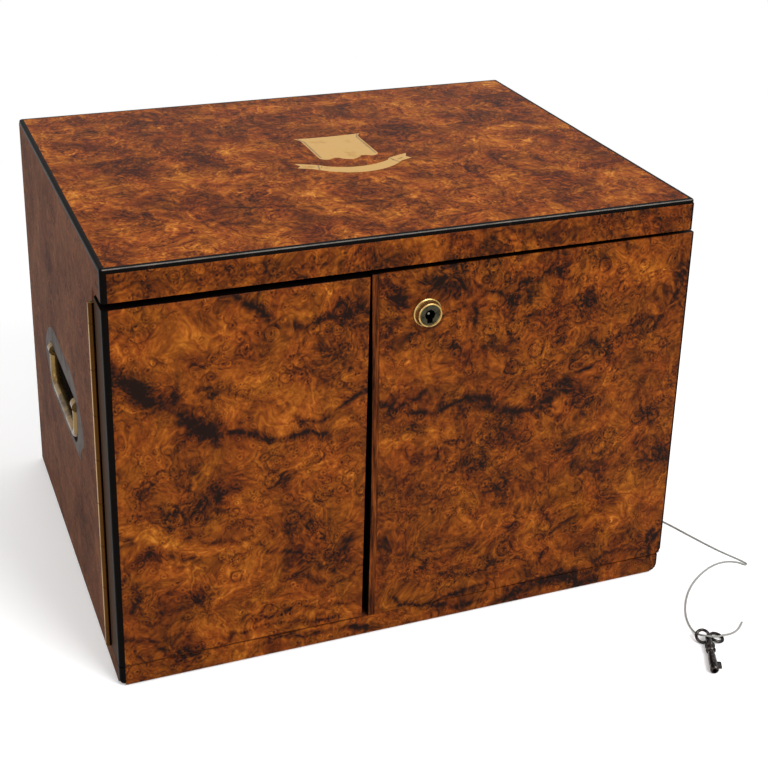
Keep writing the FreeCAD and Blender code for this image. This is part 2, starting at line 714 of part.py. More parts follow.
def side_notch_outline():
    """The side veneer's outline: cut back for the doors between rail and plinth."""
    figure = Outline(front + bead_depth, baize).line(back, baize).line(back, moulding_foot)
    figure.line(front + bead_depth, moulding_foot).line(front + bead_depth, rail_foot)
    figure.line(case_face, rail_foot).line(case_face, plinth_height).line(front + bead_depth, plinth_height)
    return figure.line(front + bead_depth, baize)


def make_case(screws):
    """Sides, top, foot, back, rail and plinth, with their veneers and ebonised edges."""
    pins, handle_screws = [], []
    for name, side in (("left", -1), ("right", 1)):
        plate_seat, cup_seat, handle_pins, plate_screws = make_handle(name, side)
        pins += handle_pins
        handle_screws += plate_screws
        cove = hinge_cove(f"case_cove_{name}", side, plinth_height, rail_foot)
        seat = leaf_seat(f"case_leaf_seat_{name}", side, case_face, case_face + leaf_thick)
        core_x = (side * core_half, side * inner_half) if side < 0 else (side * inner_half, side * core_half)
        core = block(f"side_core_{name}", core_x, (case_face, back), (baize, top_under))
        tools = [plate_seat, cup_seat, cove, seat, *screws["case", name], *plate_screws]
        keep(f"side_panel_{name}", cut(f"side_panel_{name}", core, tools))
        skin_x = (side * half_width, side * core_half) if side < 0 else (side * core_half, side * half_width)
        skin = slab(f"side_skin_{name}", "YZ_Plane", *skin_x, [side_notch_outline()])
        keep(f"side_veneer_{name}", cut(f"side_veneer_{name}", skin, [plate_seat, cove, seat]))
    keep("handle_pins", group("handle_pins", pins))
    keep("handle_screws", group("handle_screws", handle_screws))
    make_rail_and_plinth()
    inner_y = (case_face, inner_back)
    keep("base_board", block("base_board", (-inner_half, inner_half), inner_y, (baize, plinth_height)))
    keep("back_panel", block("back_panel", (-inner_half, inner_half), (inner_back, back), (baize, top_under)))
    keep("base_baize", block("base_baize", (-half_width + 3, half_width - 3), (front + 3, back - 3), (0, baize)))
    top_blank = block("top_blank", (-core_half, core_half), (case_face, back), (top_under, board_top))
    seats = [block("top_seat_back", (-half_width, half_width), (back - edge_size, back + 1),
                   (moulding_foot, case_height))]
    for name, side in (("left", -1), ("right", 1)):
        pair = sorted((side * half_width, side * (half_width - edge_size)), key=lambda s: s.value)
        seats.append(block(f"top_seat_{name}", pair, (front, back), (moulding_foot, case_height)))
    keep("top_board", cut("top_board", top_blank, seats))
    sheet_blank = block("top_sheet", (-half_width + edge_size, half_width - edge_size),
                        (front + edge_size, back - edge_size), (board_top, case_height))
    keep("top_veneer", cut("top_veneer", sheet_blank, list(make_inlay())))
    top_mouldings()


def make_rail_and_plinth():
    """The fixed rail over the doors and the plinth under them, as wide as the case."""
    beads = {"rail": [], "plinth": []}
    seats = {"rail": [], "plinth": []}
    levels = {"rail": (rail_foot, moulding_foot), "plinth": (baize, plinth_height)}
    sides = {("rail", "left"): BeadSide(-1, bead_left, arris_left),
             ("rail", "right"): BeadSide(1, bead_right, arris_right),
             ("plinth", "left"): BeadSide(-1, bead_left, arris_left, plinth_bend_left),
             ("plinth", "right"): BeadSide(1, bead_right, arris_right, plinth_bend_right)}
    for (level, name), side in sides.items():
        bead, seat = corner_bead(f"{level}_bead_{name}", side, *levels[level], side.way * half_width)
        beads[level].append(bead)
        seats[level].append(seat)
    keep("corner_beads_rail", group("corner_beads_rail", beads["rail"]))
    keep("corner_beads_plinth", group("corner_beads_plinth", beads["plinth"]))
    between = (-half_width + bead_left, half_width - bead_right)
    skin_y = (front, wood_front)
    keep("rail_veneer", block("rail_veneer", between, skin_y, (rail_foot, moulding_foot)))
    skin = block("plinth_skin", between, skin_y, (baize, plinth_height))
    keep("plinth_veneer", cut("plinth_veneer", skin, [seats["plinth"][1]]))
    rail = block("rail_blank", (-core_half, core_half), (wood_front, case_face), (rail_foot, board_top))
    plinth = block("plinth_blank", (-core_half, core_half), (wood_front, case_face), (baize, plinth_height))
    moulding_seats = [block("rail_seat_front", (-half_width, half_width), (front, front + edge_size),
                            (moulding_foot, case_height))]
    for name, side in (("left", -1), ("right", 1)):
        pair = sorted((side * half_width, side * (half_width - edge_size)), key=lambda s: s.value)
        moulding_seats.append(block(f"rail_seat_{name}_end", pair, (front, back), (moulding_foot, case_height)))
    bolt_y = lock_bolt_y()
    mortise = block("lock_mortise", (lock_across - bolt_half - 0.6, lock_across + bolt_half + 0.6),
                    (bolt_y[0] - 0.6, bolt_y[1] + 0.6), (rail_foot, rail_foot + 10))
    striker_range = ((lock_across - 16, lock_across + 16), (bolt_y[0] - 3.5, case_face),
                     (rail_foot, rail_foot + lock_wall))
    striker_seat = block("striker_seat", *striker_range)
    striker_blank = block("striker_blank", *striker_range)
    keep("striker_plate", cut("striker_plate", striker_blank, [mortise]))
    hole = rod("rail_bolt_hole", flush_radius + 0.6, (flush_across, flush_rod_y(), rail_foot), 8)
    keep("top_rail", cut("top_rail", rail, [*seats["rail"], *moulding_seats, mortise, striker_seat, hole]))
    foot_hole = rod("plinth_bolt_hole", flush_radius + 0.6, (flush_across, flush_rod_y(), plinth_height - 8), 8)
    keep("plinth_rail", cut("plinth_rail", plinth, [*seats["plinth"], foot_hole]))


def make_inside():
    """The upright, the shelf and the cloth on the two floors."""
    divider = (divider_mid - divider_thick / 2, divider_mid + divider_thick / 2)
    keep("divider", block("divider", divider, (case_face, inner_back), (plinth_height, top_under)))
    keep("shelf", block("shelf", (divider[1], inner_half), (case_face + shelf_back, inner_back),
                        (shelf_height, shelf_height + shelf_thick)))
    floors = []
    for name, across in (("left", (-inner_half, divider[0])), ("right", (divider[1], inner_half))):
        floors.append(block(f"floor_cloth_{name}", across, (case_face + 1, inner_back),
                            (plinth_height, plinth_height + lining_thick)))
    keep("floor_linings", group("floor_linings", floors))


def lock_bolt_y():
    """The lock bolt's faces, front and back, inside the lock's box."""
    rear = door_back - lock_wall - 0.3
    return rear - bolt_thick, rear


def flush_rod_y():
    """The middle of a flush bolt's rod in the door's thickness."""
    return door_back - 5.5


def make_flush_bolts():
    """Two bolts let into the narrow door, one up and one down. Returns the channels cut for them."""
    plates, channels = [], []
    rod_y = flush_rod_y()
    throw = {"top": bolt_travel, "foot": bolt_travel - 2}
    for name, way, end in (("top", 1, door_head - 0.4), ("foot", -1, door_foot + 0.4)):
        start = end - flush_long * way
        bar = rod(f"flush_rod_{name}", flush_radius, (flush_across, rod_y, start), flush_long, (0, 0, way))
        knob_z = end - (flush_long - 8) * way
        stem = rod(f"flush_stem_{name}", 1.8, (flush_across, rod_y, knob_z), 9, (0, 1, 0))
        button = rod(f"flush_button_{name}", 3.4, (flush_across, rod_y + 7.5, knob_z), 2, (0, 1, 0))
        keep(f"flush_bolt_{name}", join(f"flush_bolt_{name}", [bar, stem, button]))
        outer = door_head if way > 0 else door_foot
        reach = outer - (flush_long + 3) * way
        span = (reach, outer) if way > 0 else (outer, reach)
        channels.append(block(f"flush_channel_{name}", (flush_across - 3.1, flush_across + 3.1),
                              (rod_y - 3.1, door_back), span))
        plate_x = (flush_across - 7, flush_across + 7)
        plate_y = (door_back - lock_wall, door_back)
        plate = block(f"flush_plate_blank_{name}", plate_x, plate_y, span)
        slot_low = knob_z - 2.4 - (0 if way > 0 else throw[name])
        slot_high = knob_z + 2.4 + (throw[name] if way > 0 else 0)
        slot = block(f"flush_slot_{name}", (flush_across - 2.4, flush_across + 2.4),
                     (door_back - 2, door_back + 1), (slot_low, slot_high))
        plates.append(cut(f"flush_plate_{name}", plate, [slot]))
        channels.append(block(f"flush_plate_seat_{name}", plate_x, plate_y, span))
    keep("flush_bolt_plates", group("flush_bolt_plates", plates))
    return channels


def make_lock():
    """A box lock with an upward bolt, a nozzle with a steel keyway and a drill pin. Returns its mortises."""
    bolt_y = lock_bolt_y()
    box_front = door_back - lock_deep
    box_x = (lock_across - lock_half, lock_across + lock_half)
    flange_x = (lock_across - lock_half - 5, lock_across + lock_half + 5)
    box_head = dropped(wide_head, flange_x[0]) - 0.6
    flange = (flange_x, (door_back - lock_wall, door_back), (lock_foot - 4, box_head))
    box = (box_x, (box_front, door_back), (lock_foot, box_head))
    solid = join("lock_solid", [block("lock_box", *box), block("lock_flange", *flange)])
    room = block("lock_room", (box_x[0] + lock_wall, box_x[1] - lock_wall),
                 (box_front + lock_wall, door_back - lock_wall), (lock_foot + lock_wall, box_head - lock_wall))
    bolt_slot = block("lock_bolt_slot", (lock_across - bolt_half - 0.35, lock_across + bolt_half + 0.35),
                      (bolt_y[0] - 0.35, bolt_y[1] + 0.3), (box_head - 2 * lock_wall, box_head + 1))
    keyway = [Circle(lock_across, lock_height, keyhole_radius)]
    hole = slab("lock_key_hole", "XZ_Plane", box_front - 1, box_front + lock_wall, keyway)
    keep("lock_case", cut("lock_case", solid, [room, bolt_slot, hole]))
    head = block("bolt_head", (lock_across - bolt_half, lock_across + bolt_half), bolt_y,
                 (lock_height + 12, box_head))
    tail = slab("bolt_tail", "XZ_Plane", bolt_y[1] - 2.6, bolt_y[1],
                [rectangle(lock_across - 13, lock_across + 13, lock_foot + 3, lock_height + 15),
                 rectangle(lock_across - 6, lock_across + 6, lock_foot + 6, lock_height + 12)])
    keep("lock_bolt", join("lock_bolt", [head, tail]))
    spring_x, spring_foot, spring_head = lock_across + 15, lock_foot + lock_wall, lock_height + 12
    spring = Outline(spring_x, spring_foot).arc(spring_x, spring_head, 90, -1)
    spring.line(spring_x + 0.6, spring_head).arc(spring_x + 0.6, spring_foot, 90, 1)
    spring.line(spring_x, spring_foot)
    keep("lock_spring", slab("lock_spring", "XZ_Plane", bolt_y[1] - 2.4, bolt_y[1] - 0.4, [spring]))
    keep("lock_drill_pin", rod("lock_drill_pin", drill_pin_radius,
                               (lock_across, door_back - lock_wall, lock_height),
                               door_thick - lock_wall + 2.2, (0, -1, 0)))
    make_nozzle(box_front)
    mortise = block("lock_mortise_door", *box)
    recess = block("lock_flange_seat", *flange)
    above = block("lock_top_seat", flange_x, (box_front, door_back), (box_head, wide_head + 5))
    bore = rod("nozzle_bore", shank_radius, (lock_across, front - 1, lock_height), door_thick, (0, 1, 0))
    return [mortise, recess, above, bore]


def make_nozzle(box_front):
    """The brass nozzle on the door's face and the steel barrel with the keyway inside it."""
    rim = front - nozzle_proud
    face = rim + keyway_sunk
    half = Outline(barrel_bore, box_front).line(shank_radius, box_front).line(shank_radius, front)
    half.line(nozzle_radius, front).line(nozzle_radius, front - 0.9).line(nozzle_radius - 0.6, front - 1.4)
    half.arc(rim_radius, rim + 0.5, 8, 1).arc(rim_radius - 0.5, rim, 0.5, -1).line(rim_radius - 0.9, rim)
    half.line(barrel_bore, face).line(barrel_bore, box_front)
    keep("lock_nozzle", revolve("lock_nozzle", "XY_Plane", lock_height, (lock_across, 0), half))
    shoulder = math.sqrt(keyhole_radius.value ** 2 - keyhole_half.value ** 2)
    east, west = lock_across + keyhole_half, lock_across - keyhole_half
    crest = lock_height + keyhole_radius
    keyway = Outline(east, lock_height - keyhole_foot).line(east, lock_height - shoulder)
    keyway.arc(lock_across + keyhole_radius, lock_height, keyhole_radius, 1)
    keyway.arc(lock_across, crest, keyhole_radius, 1)
    keyway.arc(lock_across - keyhole_radius, lock_height, keyhole_radius, 1)
    keyway.arc(west, lock_height - shoulder, keyhole_radius, 1).line(west, lock_height - keyhole_foot)
    keyway.line(east, lock_height - keyhole_foot)
    keep("lock_keyway", slab("lock_keyway", "XZ_Plane", face, box_front,
                             [Circle(lock_across, lock_height, barrel_bore), keyway]))


def dropped(level, x):
    """A level of the wide door at a distance along it: it falls towards the free edge."""
    return level - sag_slope * (right_edge - x)


def wide_door_outline(edge_in, outer):
    """The wide door's face from a line beside its bowed free edge to a line at its hinge side."""
    foot_x, head_x = right_free_foot + edge_in, right_free_head + edge_in
    foot_z, head_z = dropped(wide_foot, foot_x), dropped(wide_head, head_x)
    figure = Outline(foot_x, foot_z).line(outer, dropped(wide_foot, outer))
    figure.line(outer, dropped(wide_head, outer)).line(head_x, head_z)
    return figure.arc(foot_x, foot_z, free_edge_bow, -1)


def wide_lipping_outline():
    """The edge strip of the wide door, bowed as the free edge is."""
    foot_x, head_x = right_free_foot, right_free_head
    figure = Outline(foot_x, dropped(wide_foot, foot_x))
    figure.line(foot_x + lipping, dropped(wide_foot, foot_x + lipping))
    figure.arc(head_x + lipping, dropped(wide_head, head_x + lipping), free_edge_bow, 1)
    figure.line(head_x, dropped(wide_head, head_x))
    return figure.arc(foot_x, dropped(wide_foot, foot_x), free_edge_bow, -1)


def narrow_door_outline(outer, edge_in):
    """The narrow door from a line at its hinge side to a line beside its leaning free edge."""
    figure = Outline(outer, door_foot).line(left_free_foot - edge_in, door_foot)
    return figure.line(left_free_head - edge_in, door_head).line(outer, door_head).line(outer, door_foot)


def make_doors(screws):
    """Both doors: core, burr veneer, lipping at the meeting edge and an ebonised corner bead."""
    span = (door_foot, door_head)
    outer = -half_width
    bead, seat = corner_bead("door_bead_left", BeadSide(-1, bead_left, arris_left), *span, outer)
    core = slab("door_core_left", "XZ_Plane", wood_front, door_back, [narrow_door_outline(outer, hidden_lipping)])
    tools = [seat, hinge_cove("door_cove_left", -1, *span),
             leaf_seat("door_leaf_seat_left", -1, door_back - leaf_thick, door_back),
             *make_flush_bolts(), *screws["door", "left"]]
    keep("door_panel_left", cut("door_panel_left", core, tools))
    keep("door_veneer_left", slab("door_veneer_left", "XZ_Plane", front, wood_front,
                                  [narrow_door_outline(outer + bead_left, 0)]))
    strip = Outline(left_free_foot - hidden_lipping, door_foot).line(left_free_foot, door_foot)
    strip.line(left_free_head, door_head).line(left_free_head - hidden_lipping, door_head)
    strip.line(left_free_foot - hidden_lipping, door_foot)
    keep("door_lipping_left", slab("door_lipping_left", "XZ_Plane", wood_front, door_back, [strip]))
    keep("door_bead_left", bead)

    bead, seat = corner_bead("door_bead_right", BeadSide(1, bead_right, arris_right, door_bend),
                             wide_foot, wide_head, right_edge)
    blank = slab("door_core_right", "XZ_Plane", wood_front, door_back, [wide_door_outline(lipping, right_edge)])
    tools = [seat, hinge_cove("door_cove_right", 1, door_foot - 1, wide_head + 1),
             leaf_seat("door_leaf_seat_right", 1, door_back - leaf_thick, door_back),
             *make_lock(), *screws["door", "right"]]
    keep("door_panel_right", cut("door_panel_right", blank, tools))
    face = slab("door_face_right", "XZ_Plane", front, wood_front,
                [wide_door_outline(lipping, right_edge - bead_right)])
    hole = rod("veneer_nozzle_hole", shank_radius, (lock_across, front - 1, lock_height), 4, (0, 1, 0))
    keep("door_veneer_right", cut("door_veneer_right", face, [hole, seat]))
    keep("door_lipping_right", slab("door_lipping_right", "XZ_Plane", front, door_back,
                                    [wide_lipping_outline()]))
    keep("door_bead_right", bead)


# The string: from the right-hand handle's front pivot down to the table, out beside the case,
# back on itself at a tight fold and round through the bow of the key. Points are X, Y, Z.
TABLE = string_radius.value
STRING_ROUTE = (
    (190.7, -34.9, 138.0),
    (192.9, -35.0, 96.0),
    (194.4, -36.6, 52.5),
    (196.4, -39.6, 24.5),
    (200.6, -46.0, 6.6),
    (208.6, -57.6, TABLE),
    (218.2, -72.8, TABLE),
    (229.1, -94.4, TABLE),
    (236.4, -115.2, TABLE),
    (244.4, -136.4, TABLE),
    (250.2, -148.2, TABLE),
    (253.3, -154.0, TABLE),
    (254.9, -157.9, TABLE),
    (256.0, -160.4, TABLE),
    (253.7, -161.6, TABLE),
    (251.3, -157.2, TABLE),
    (246.0, -153.9, TABLE),
    (238.6, -152.9, TABLE),
    (228.6, -155.0, TABLE),
    (214.0, -162.6, TABLE),
    (201.2, -172.4, TABLE),
    (190.6, -184.2, TABLE),
    (182.4, -196.6, TABLE),
    (177.9, -207.8, TABLE),
    (176.6, -216.2, TABLE),
    (176.8, -222.6, 2.4),
    (177.4, -228.6, 5.9),
    (180.9, -231.7, 6.2),
    (186.2, -230.9, 4.5),
    (191.4, -228.6, 3.1),
    (196.8, -226.9, 0.9),
    (202.6, -225.9, TABLE),
    (208.8, -222.2, TABLE),
    (213.2, -218.0, TABLE),
)


def rounded_path(points):
    """Straight runs joined by tangent arcs, each as large as its two runs allow."""
    edges, radii = [], []
    here = points[0]
    for before, corner, after in zip(points, points[1:], points[2:]):
        into, out = (corner - before), (after - corner)
        turn = into.getAngle(out)
        reach = 0.45 * min(into.Length, out.Length)
        radii.append(reach / math.tan(turn / 2))
        start = corner - into.normalize() * reach
        end = corner + out.normalize() * reach
        bisector = (end - start).cross((into.cross(out))).normalize()
        middle = (start + end) / 2
        sagitta = radii[-1] - math.sqrt(max(radii[-1] ** 2 - ((end - start).Length / 2) ** 2, 0))
        towards = (corner - middle).normalize()
        if bisector.dot(towards) < 0:
            bisector = -bisector
        edges.append(Part.LineSegment(here, start).toShape())
        edges.append(Part.Arc(start, middle + bisector * sagitta, end).toShape())
        here = end
    edges.append(Part.LineSegment(here, points[-1]).toShape())
    return Part.Wire(edges), radii


def make_string():
    """The cotton string as one tube along its route, and the hitch round the handle's pivot pin."""
    points = [Vector(*p) for p in STRING_ROUTE]
    path, radii = rounded_path(points)
    way = (points[1] - points[0]).normalize()
    ring = Part.Wire(Part.Circle(points[0], way, string_radius.value).toShape())
    tube = path.makePipeShell([ring], True, False)
    area = math.pi * string_radius.value ** 2
    print("string: length %.1f, volume ratio %.4f" % (path.Length, tube.Volume / (area * path.Length)))
    print("string: arc radii", ", ".join("%.1f" % r for r in radii))
    string = doc.addObject("Part::Feature", "key_string")
    string.Shape = tube
    keep("key_string", string)
    hitch = doc.addObject("Part::Torus", "string_hitch")
    bind(hitch, "Radius1", pivot_radius + string_radius + 0.1)
    bind(hitch, "Radius2", string_radius)
    hitch.Angle3 = 300
    hitch.Placement = Placement(Vector(), Rotation(Vector(1, 0, 0), 90))
    hitch.setExpression("Placement.Base.x", (half_width - pivot_in).text)
    hitch.setExpression("Placement.Base.y", (handle_mid - cup_half + 1.1).text)
    hitch.setExpression("Placement.Base.z", handle_pivot.text)
    keep("string_hitch", hitch)


def make_key():
    """The pipe key: a bow of two loops, two collars, a bored barrel that swells to its tip, a small bit.

    Its own axes: Y up the shank from the neck, X across. One loop lies down, the other is bent up.
    """
    half = Outline(0, 4.6).line(1.4, 4.6).arc(2.1, 3.9, 0.7, -1).line(2.1, -0.6).line(2.7, -3.4)
    half.line(2.7, -4.6).arc(2.7, -6.4, 0.95, -1).line(2.2, -6.9).line(2.2, -8.6).line(2.6, -9.1)
    half.arc(2.6, -10.9, 0.95, -1).line(2.0, -11.6).arc(2.6, -25.0, 90, -1).line(2.7, -30.2)
    half.line(2.2, -30.7).line(1.2, -30.7).line(1.2, -17.0).line(0, -17.0).line(0, 4.6)
    shank = revolve("key_shank", "XY_Plane", 0, (0, 0), half)
    bit = block("key_bit", (1.6, 5.0), (-27.6, -22.4), (-0.8, 0.8))
    loops = []
    for name, centre, facing in (("raised", (-3.7, 3.7, 0.5), (0, -0.574, 0.819)),
                                 ("lying", (5.6, 5.8, -1.2), (0.208, 0, 0.978))):
        loop = doc.addObject("Part::Torus", f"key_loop_{name}")
        bind(loop, "Radius1", loop_radius)
        bind(loop, "Radius2", loop_bar)
        loop.Placement = Placement(Vector(*centre), Rotation(Vector(0, 0, 1), Vector(*facing)))
        loops.append(loop)
    key = join("key", [shank, bit, *loops])
    key.Placement = Placement(Vector(178.9, -230.8, key_axis_height.value), Rotation(Vector(0, 0, 1), -26.2))
    keep("key", key)


def check_and_write():
    """Stops on any failed object, then writes one file for each sub-part."""
    doc.recompute()
    for thing in doc.Objects:
        if "Invalid" in thing.State or "Error" in thing.State:
            raise SystemExit(f"failed object: {thing.Label} {thing.State}")
    os.makedirs("parts", exist_ok=True)
    for label, thing in parts.items():
        shape = thing.Shape
        if shape.isNull() or not shape.isValid() or not shape.Solids:
            raise SystemExit(f"bad shape: {label}")
    for label, thing in parts.items():
        thing.Shape.exportStep(f"parts/{label}.step")
    print(len(parts), "sub-parts written")


hinge_screws = make_hinges()
make_case(hinge_screws)
make_inside()
make_doors(hinge_screws)
make_string()
make_key()
check_and_write()
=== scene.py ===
"""Looks of a Victorian burr walnut tabletop cabinet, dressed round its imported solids.

Lengths are in millimetres in the dataclasses and in metres where they reach Blender. X runs to the
viewer's right, Y from the doors to the back, Z up from the table.
"""
import logging
import math
from dataclasses import dataclass, replace
from enum import Enum

import bpy
from mathutils import Matrix, Vector

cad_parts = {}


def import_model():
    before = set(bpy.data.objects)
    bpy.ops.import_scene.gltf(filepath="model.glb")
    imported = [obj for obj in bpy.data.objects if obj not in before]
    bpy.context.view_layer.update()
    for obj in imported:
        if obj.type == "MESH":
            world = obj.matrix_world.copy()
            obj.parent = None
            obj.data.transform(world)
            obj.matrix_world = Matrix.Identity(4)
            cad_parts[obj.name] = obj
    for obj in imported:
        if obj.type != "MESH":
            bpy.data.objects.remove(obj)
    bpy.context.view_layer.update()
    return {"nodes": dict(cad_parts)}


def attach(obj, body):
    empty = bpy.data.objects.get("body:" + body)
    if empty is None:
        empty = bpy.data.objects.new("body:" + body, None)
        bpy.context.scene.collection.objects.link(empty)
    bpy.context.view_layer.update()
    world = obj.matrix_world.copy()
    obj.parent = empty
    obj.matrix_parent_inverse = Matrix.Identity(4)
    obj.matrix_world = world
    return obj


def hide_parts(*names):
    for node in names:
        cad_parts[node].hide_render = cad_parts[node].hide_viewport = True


MM = 0.001
# The colour inputs and output of a mix node, whose other inputs bear the same names
MIX_LOW = 6
MIX_HIGH = 7
MIX_OUT = 2
Material = bpy.types.Material
Tree = bpy.types.NodeTree
Socket = bpy.types.NodeSocket
Triple = tuple[float, float, float]
Stops = tuple[tuple[float, str | float], ...]
log = logging.getLogger("cabinet")


def linear(colour: str) -> tuple[float, float, float, float]:
    """Turns an sRGB hex colour into the linear one that shaders take.

    Args:
        colour: Six hex digits after a hash sign.

    Returns:
        Linear red, green and blue, and an alpha of 1.
    """
    channels = [int(colour[i:i + 2], 16) / 255 for i in (1, 3, 5)]
    return (*[c / 12.92 if c <= 0.04045 else ((c + 0.055) / 1.055) ** 2.4 for c in channels], 1.0)


def add(tree: Tree, kind: str, feeds: tuple | dict = (), out: int | str = 0,
        stops: Stops = (), **settings) -> Socket | None:
    """Adds one node with its settings and what feeds it.

    Args:
        tree: Node tree that gets the node.
        kind: Blender's identifier of the node, after ShaderNode.
        feeds: The sockets and plain values that go into it, in order of its inputs or by input.
        out: The output to give back.
        stops: A ramp's positions, from low to high, each with a hex colour or a grey tone.
        **settings: Properties of the node itself.

    Returns:
        The output of the new node, or None if it has none.
    """
    node = tree.nodes.new("ShaderNode" + kind)
    for name, value in settings.items():
        setattr(node, name, value)
    for key, value in feeds.items() if isinstance(feeds, dict) else enumerate(feeds):
        if isinstance(value, Socket):
            tree.links.new(value, node.inputs[key])
        else:
            node.inputs[key].default_value = value
    if stops:
        elements = node.color_ramp.elements
        while len(elements) < len(stops):
            elements.new(0.5)
        for element, (position, colour) in zip(elements, stops):
            element.position = position
            element.color = linear(colour) if isinstance(colour, str) else (colour, colour, colour, 1.0)
    return node.outputs[out] if node.outputs else None


def new_material(name: str) -> tuple[Material, Tree]:
    """Starts a material with an empty node tree.

    Args:
        name: Name of the finish.

    Returns:
        The material and its node tree.
    """
    material = bpy.data.materials.new(name)
    material.use_nodes = True
    material.node_tree.nodes.clear()
    return material, material.node_tree


def millimetres(tree: Tree, drawn: Triple = (1.0, 1.0, 1.0)) -> Socket:
    """Gives the place on the object in millimetres.

    Args:
        tree: Node tree of the material.
        drawn: How many times the figure is drawn out along X, Y and Z.

    Returns:
        The place.
    """
    here = add(tree, "TexCoord", out="Object")
    return add(tree, "VectorMath", (here, tuple(1 / MM / times for times in drawn)), operation="MULTIPLY")


def lay(tree: Tree, value: Socket, weight: float, tone: Socket | float, middle: float = 0.0) -> Socket:
    """Lays a value over a tone, lighter where it is above its middle and darker below.

    Args:
        tree: Node tree of the material.
        value: The value.
        weight: How much it counts.
        tone: The tone so far.
        middle: The value that leaves the tone as it is.

    Returns:
        The new tone.
    """
    if middle:
        value = add(tree, "Math", (value, middle), operation="SUBTRACT")
    return add(tree, "Math", (value, weight, tone), operation="MULTIPLY_ADD")


class Plane(Enum):
    """The two axes that a sheet of veneer lies along."""

    FRONT = ("X", "Z")
    TOP = ("X", "Y")
    SIDE = ("Y", "Z")


@dataclass(frozen=True)
class Streak:
    """A line that wanders through a sheet: a vein, a pale band or an engraved cut.

    Args:
        path: Places along it, in the sheet's own plane.
        half_width: Half its width where it is strongest.
        strength: How strong it is, from 0 to 1.
    """

    path: tuple[tuple[float, float], ...]
    half_width: float
    strength: float


@dataclass(frozen=True)
class Patch:
    """A cloud in the burr: dark or bright ground, or a cluster of eyes.

    Args:
        place: Its middle, in the sheet's own plane.
        radius: How far it reaches.
        strength: How strong it is, from 0 to 1.
    """

    place: tuple[float, float]
    radius: float
    strength: float


# How much wider than its core a streak's skirt is, and a patch's edge than its radius
STREAK_SKIRT = 2.4
PATCH_SKIRT = 1.45


def veins(tree: Tree, place: Socket, streaks: tuple[Streak, ...]) -> Socket:
    """Gives the strength of some streaks, dense in their middle and with a long soft skirt.

    Args:
        tree: Node tree of the material.
        place: Place in millimetres, already pushed about.
        streaks: The streaks.

    Returns:
        Their strength at the place.
    """
    root: Socket | float = 0.0
    for streak in streaks:
        for start, end in zip(streak.path, streak.path[1:]):
            whole = Vector((*end, 0.0)) - Vector((*start, 0.0))
            from_start = add(tree, "VectorMath", (place, (*start, 0.0)), operation="SUBTRACT")
            along = add(tree, "VectorMath", (from_start, whole / whole.length_squared), "Value",
                        operation="DOT_PRODUCT")
            share = add(tree, "Clamp", (along,))
            foot = add(tree, "VectorMath", {0: whole, "Scale": share}, operation="SCALE")
            gap = add(tree, "VectorMath", (from_start, foot), "Value", operation="DISTANCE")
            stretch = add(tree, "MapRange", (gap, STREAK_SKIRT * streak.half_width, 0.0, 0.0,
                                             math.sqrt(streak.strength)))
            root = add(tree, "Math", (stretch, root), operation="MAXIMUM")
    return add(tree, "Math", (root, 2.0), operation="POWER")


def clouds(tree: Tree, place: Socket, patches: tuple[Patch, ...]) -> Socket | float:
    """Gives the strength of some soft round patches.

    Args:
        tree: Node tree of the material.
        place: Place in millimetres.
        patches: The patches.

    Returns:
        Their strength at the place, or 0 without any.
    """
    total: Socket | float = 0.0
    for patch in patches:
        gap = add(tree, "VectorMath", (place, (*patch.place, 0.0)), "Value", operation="DISTANCE")
        cloud = add(tree, "MapRange", (gap, patch.radius * PATCH_SKIRT, 0.0, 0.0, patch.strength),
                    interpolation_type="SMOOTHSTEP")
        total = add(tree, "Math", (cloud, total), operation="MAXIMUM")
    return total


@dataclass(frozen=True)
class Grain:
    """One size of figure in a surface.

    Args:
        size: Size of its largest features.
        detail: How many times it is halved.
        rough: How strong each halving is.
        weight: How much it changes what it is laid over.
    """

    size: float
    detail: float = 2.0
    rough: float = 0.5
    weight: float = 1.0

    def at(self, place: Socket, given_by: str = "Vector") -> dict:
        """Gives what feeds a noise with features of this size at a place."""
        return {given_by: place, "Scale": 1 / self.size, "Detail": self.detail, "Roughness": self.rough}


@dataclass(frozen=True)
class Swirl:
    """A smooth disorder that carries places along with it.

    Args:
        size: Size of the swirls.
        reach: How far a place may be pushed.
        detail: How many times they are halved.
    """

    size: float
    reach: float
    detail: float = 1.0

    def push(self, tree: Tree, place: Socket) -> Socket:
        """Pushes places about.

        Args:
            tree: Node tree of the material.
            place: Place in millimetres.

        Returns:
            The pushed place.
        """
        noise = add(tree, "TexNoise", Grain(self.size, self.detail, 0.6).at(place), "Color",
                    noise_dimensions="2D")
        centred = add(tree, "VectorMath", (noise, (0.5, 0.5, 0.5)), operation="SUBTRACT")
        push = add(tree, "VectorMath", {0: centred, "Scale": 2 * self.reach}, operation="SCALE")
        return add(tree, "VectorMath", (place, push), operation="ADD")


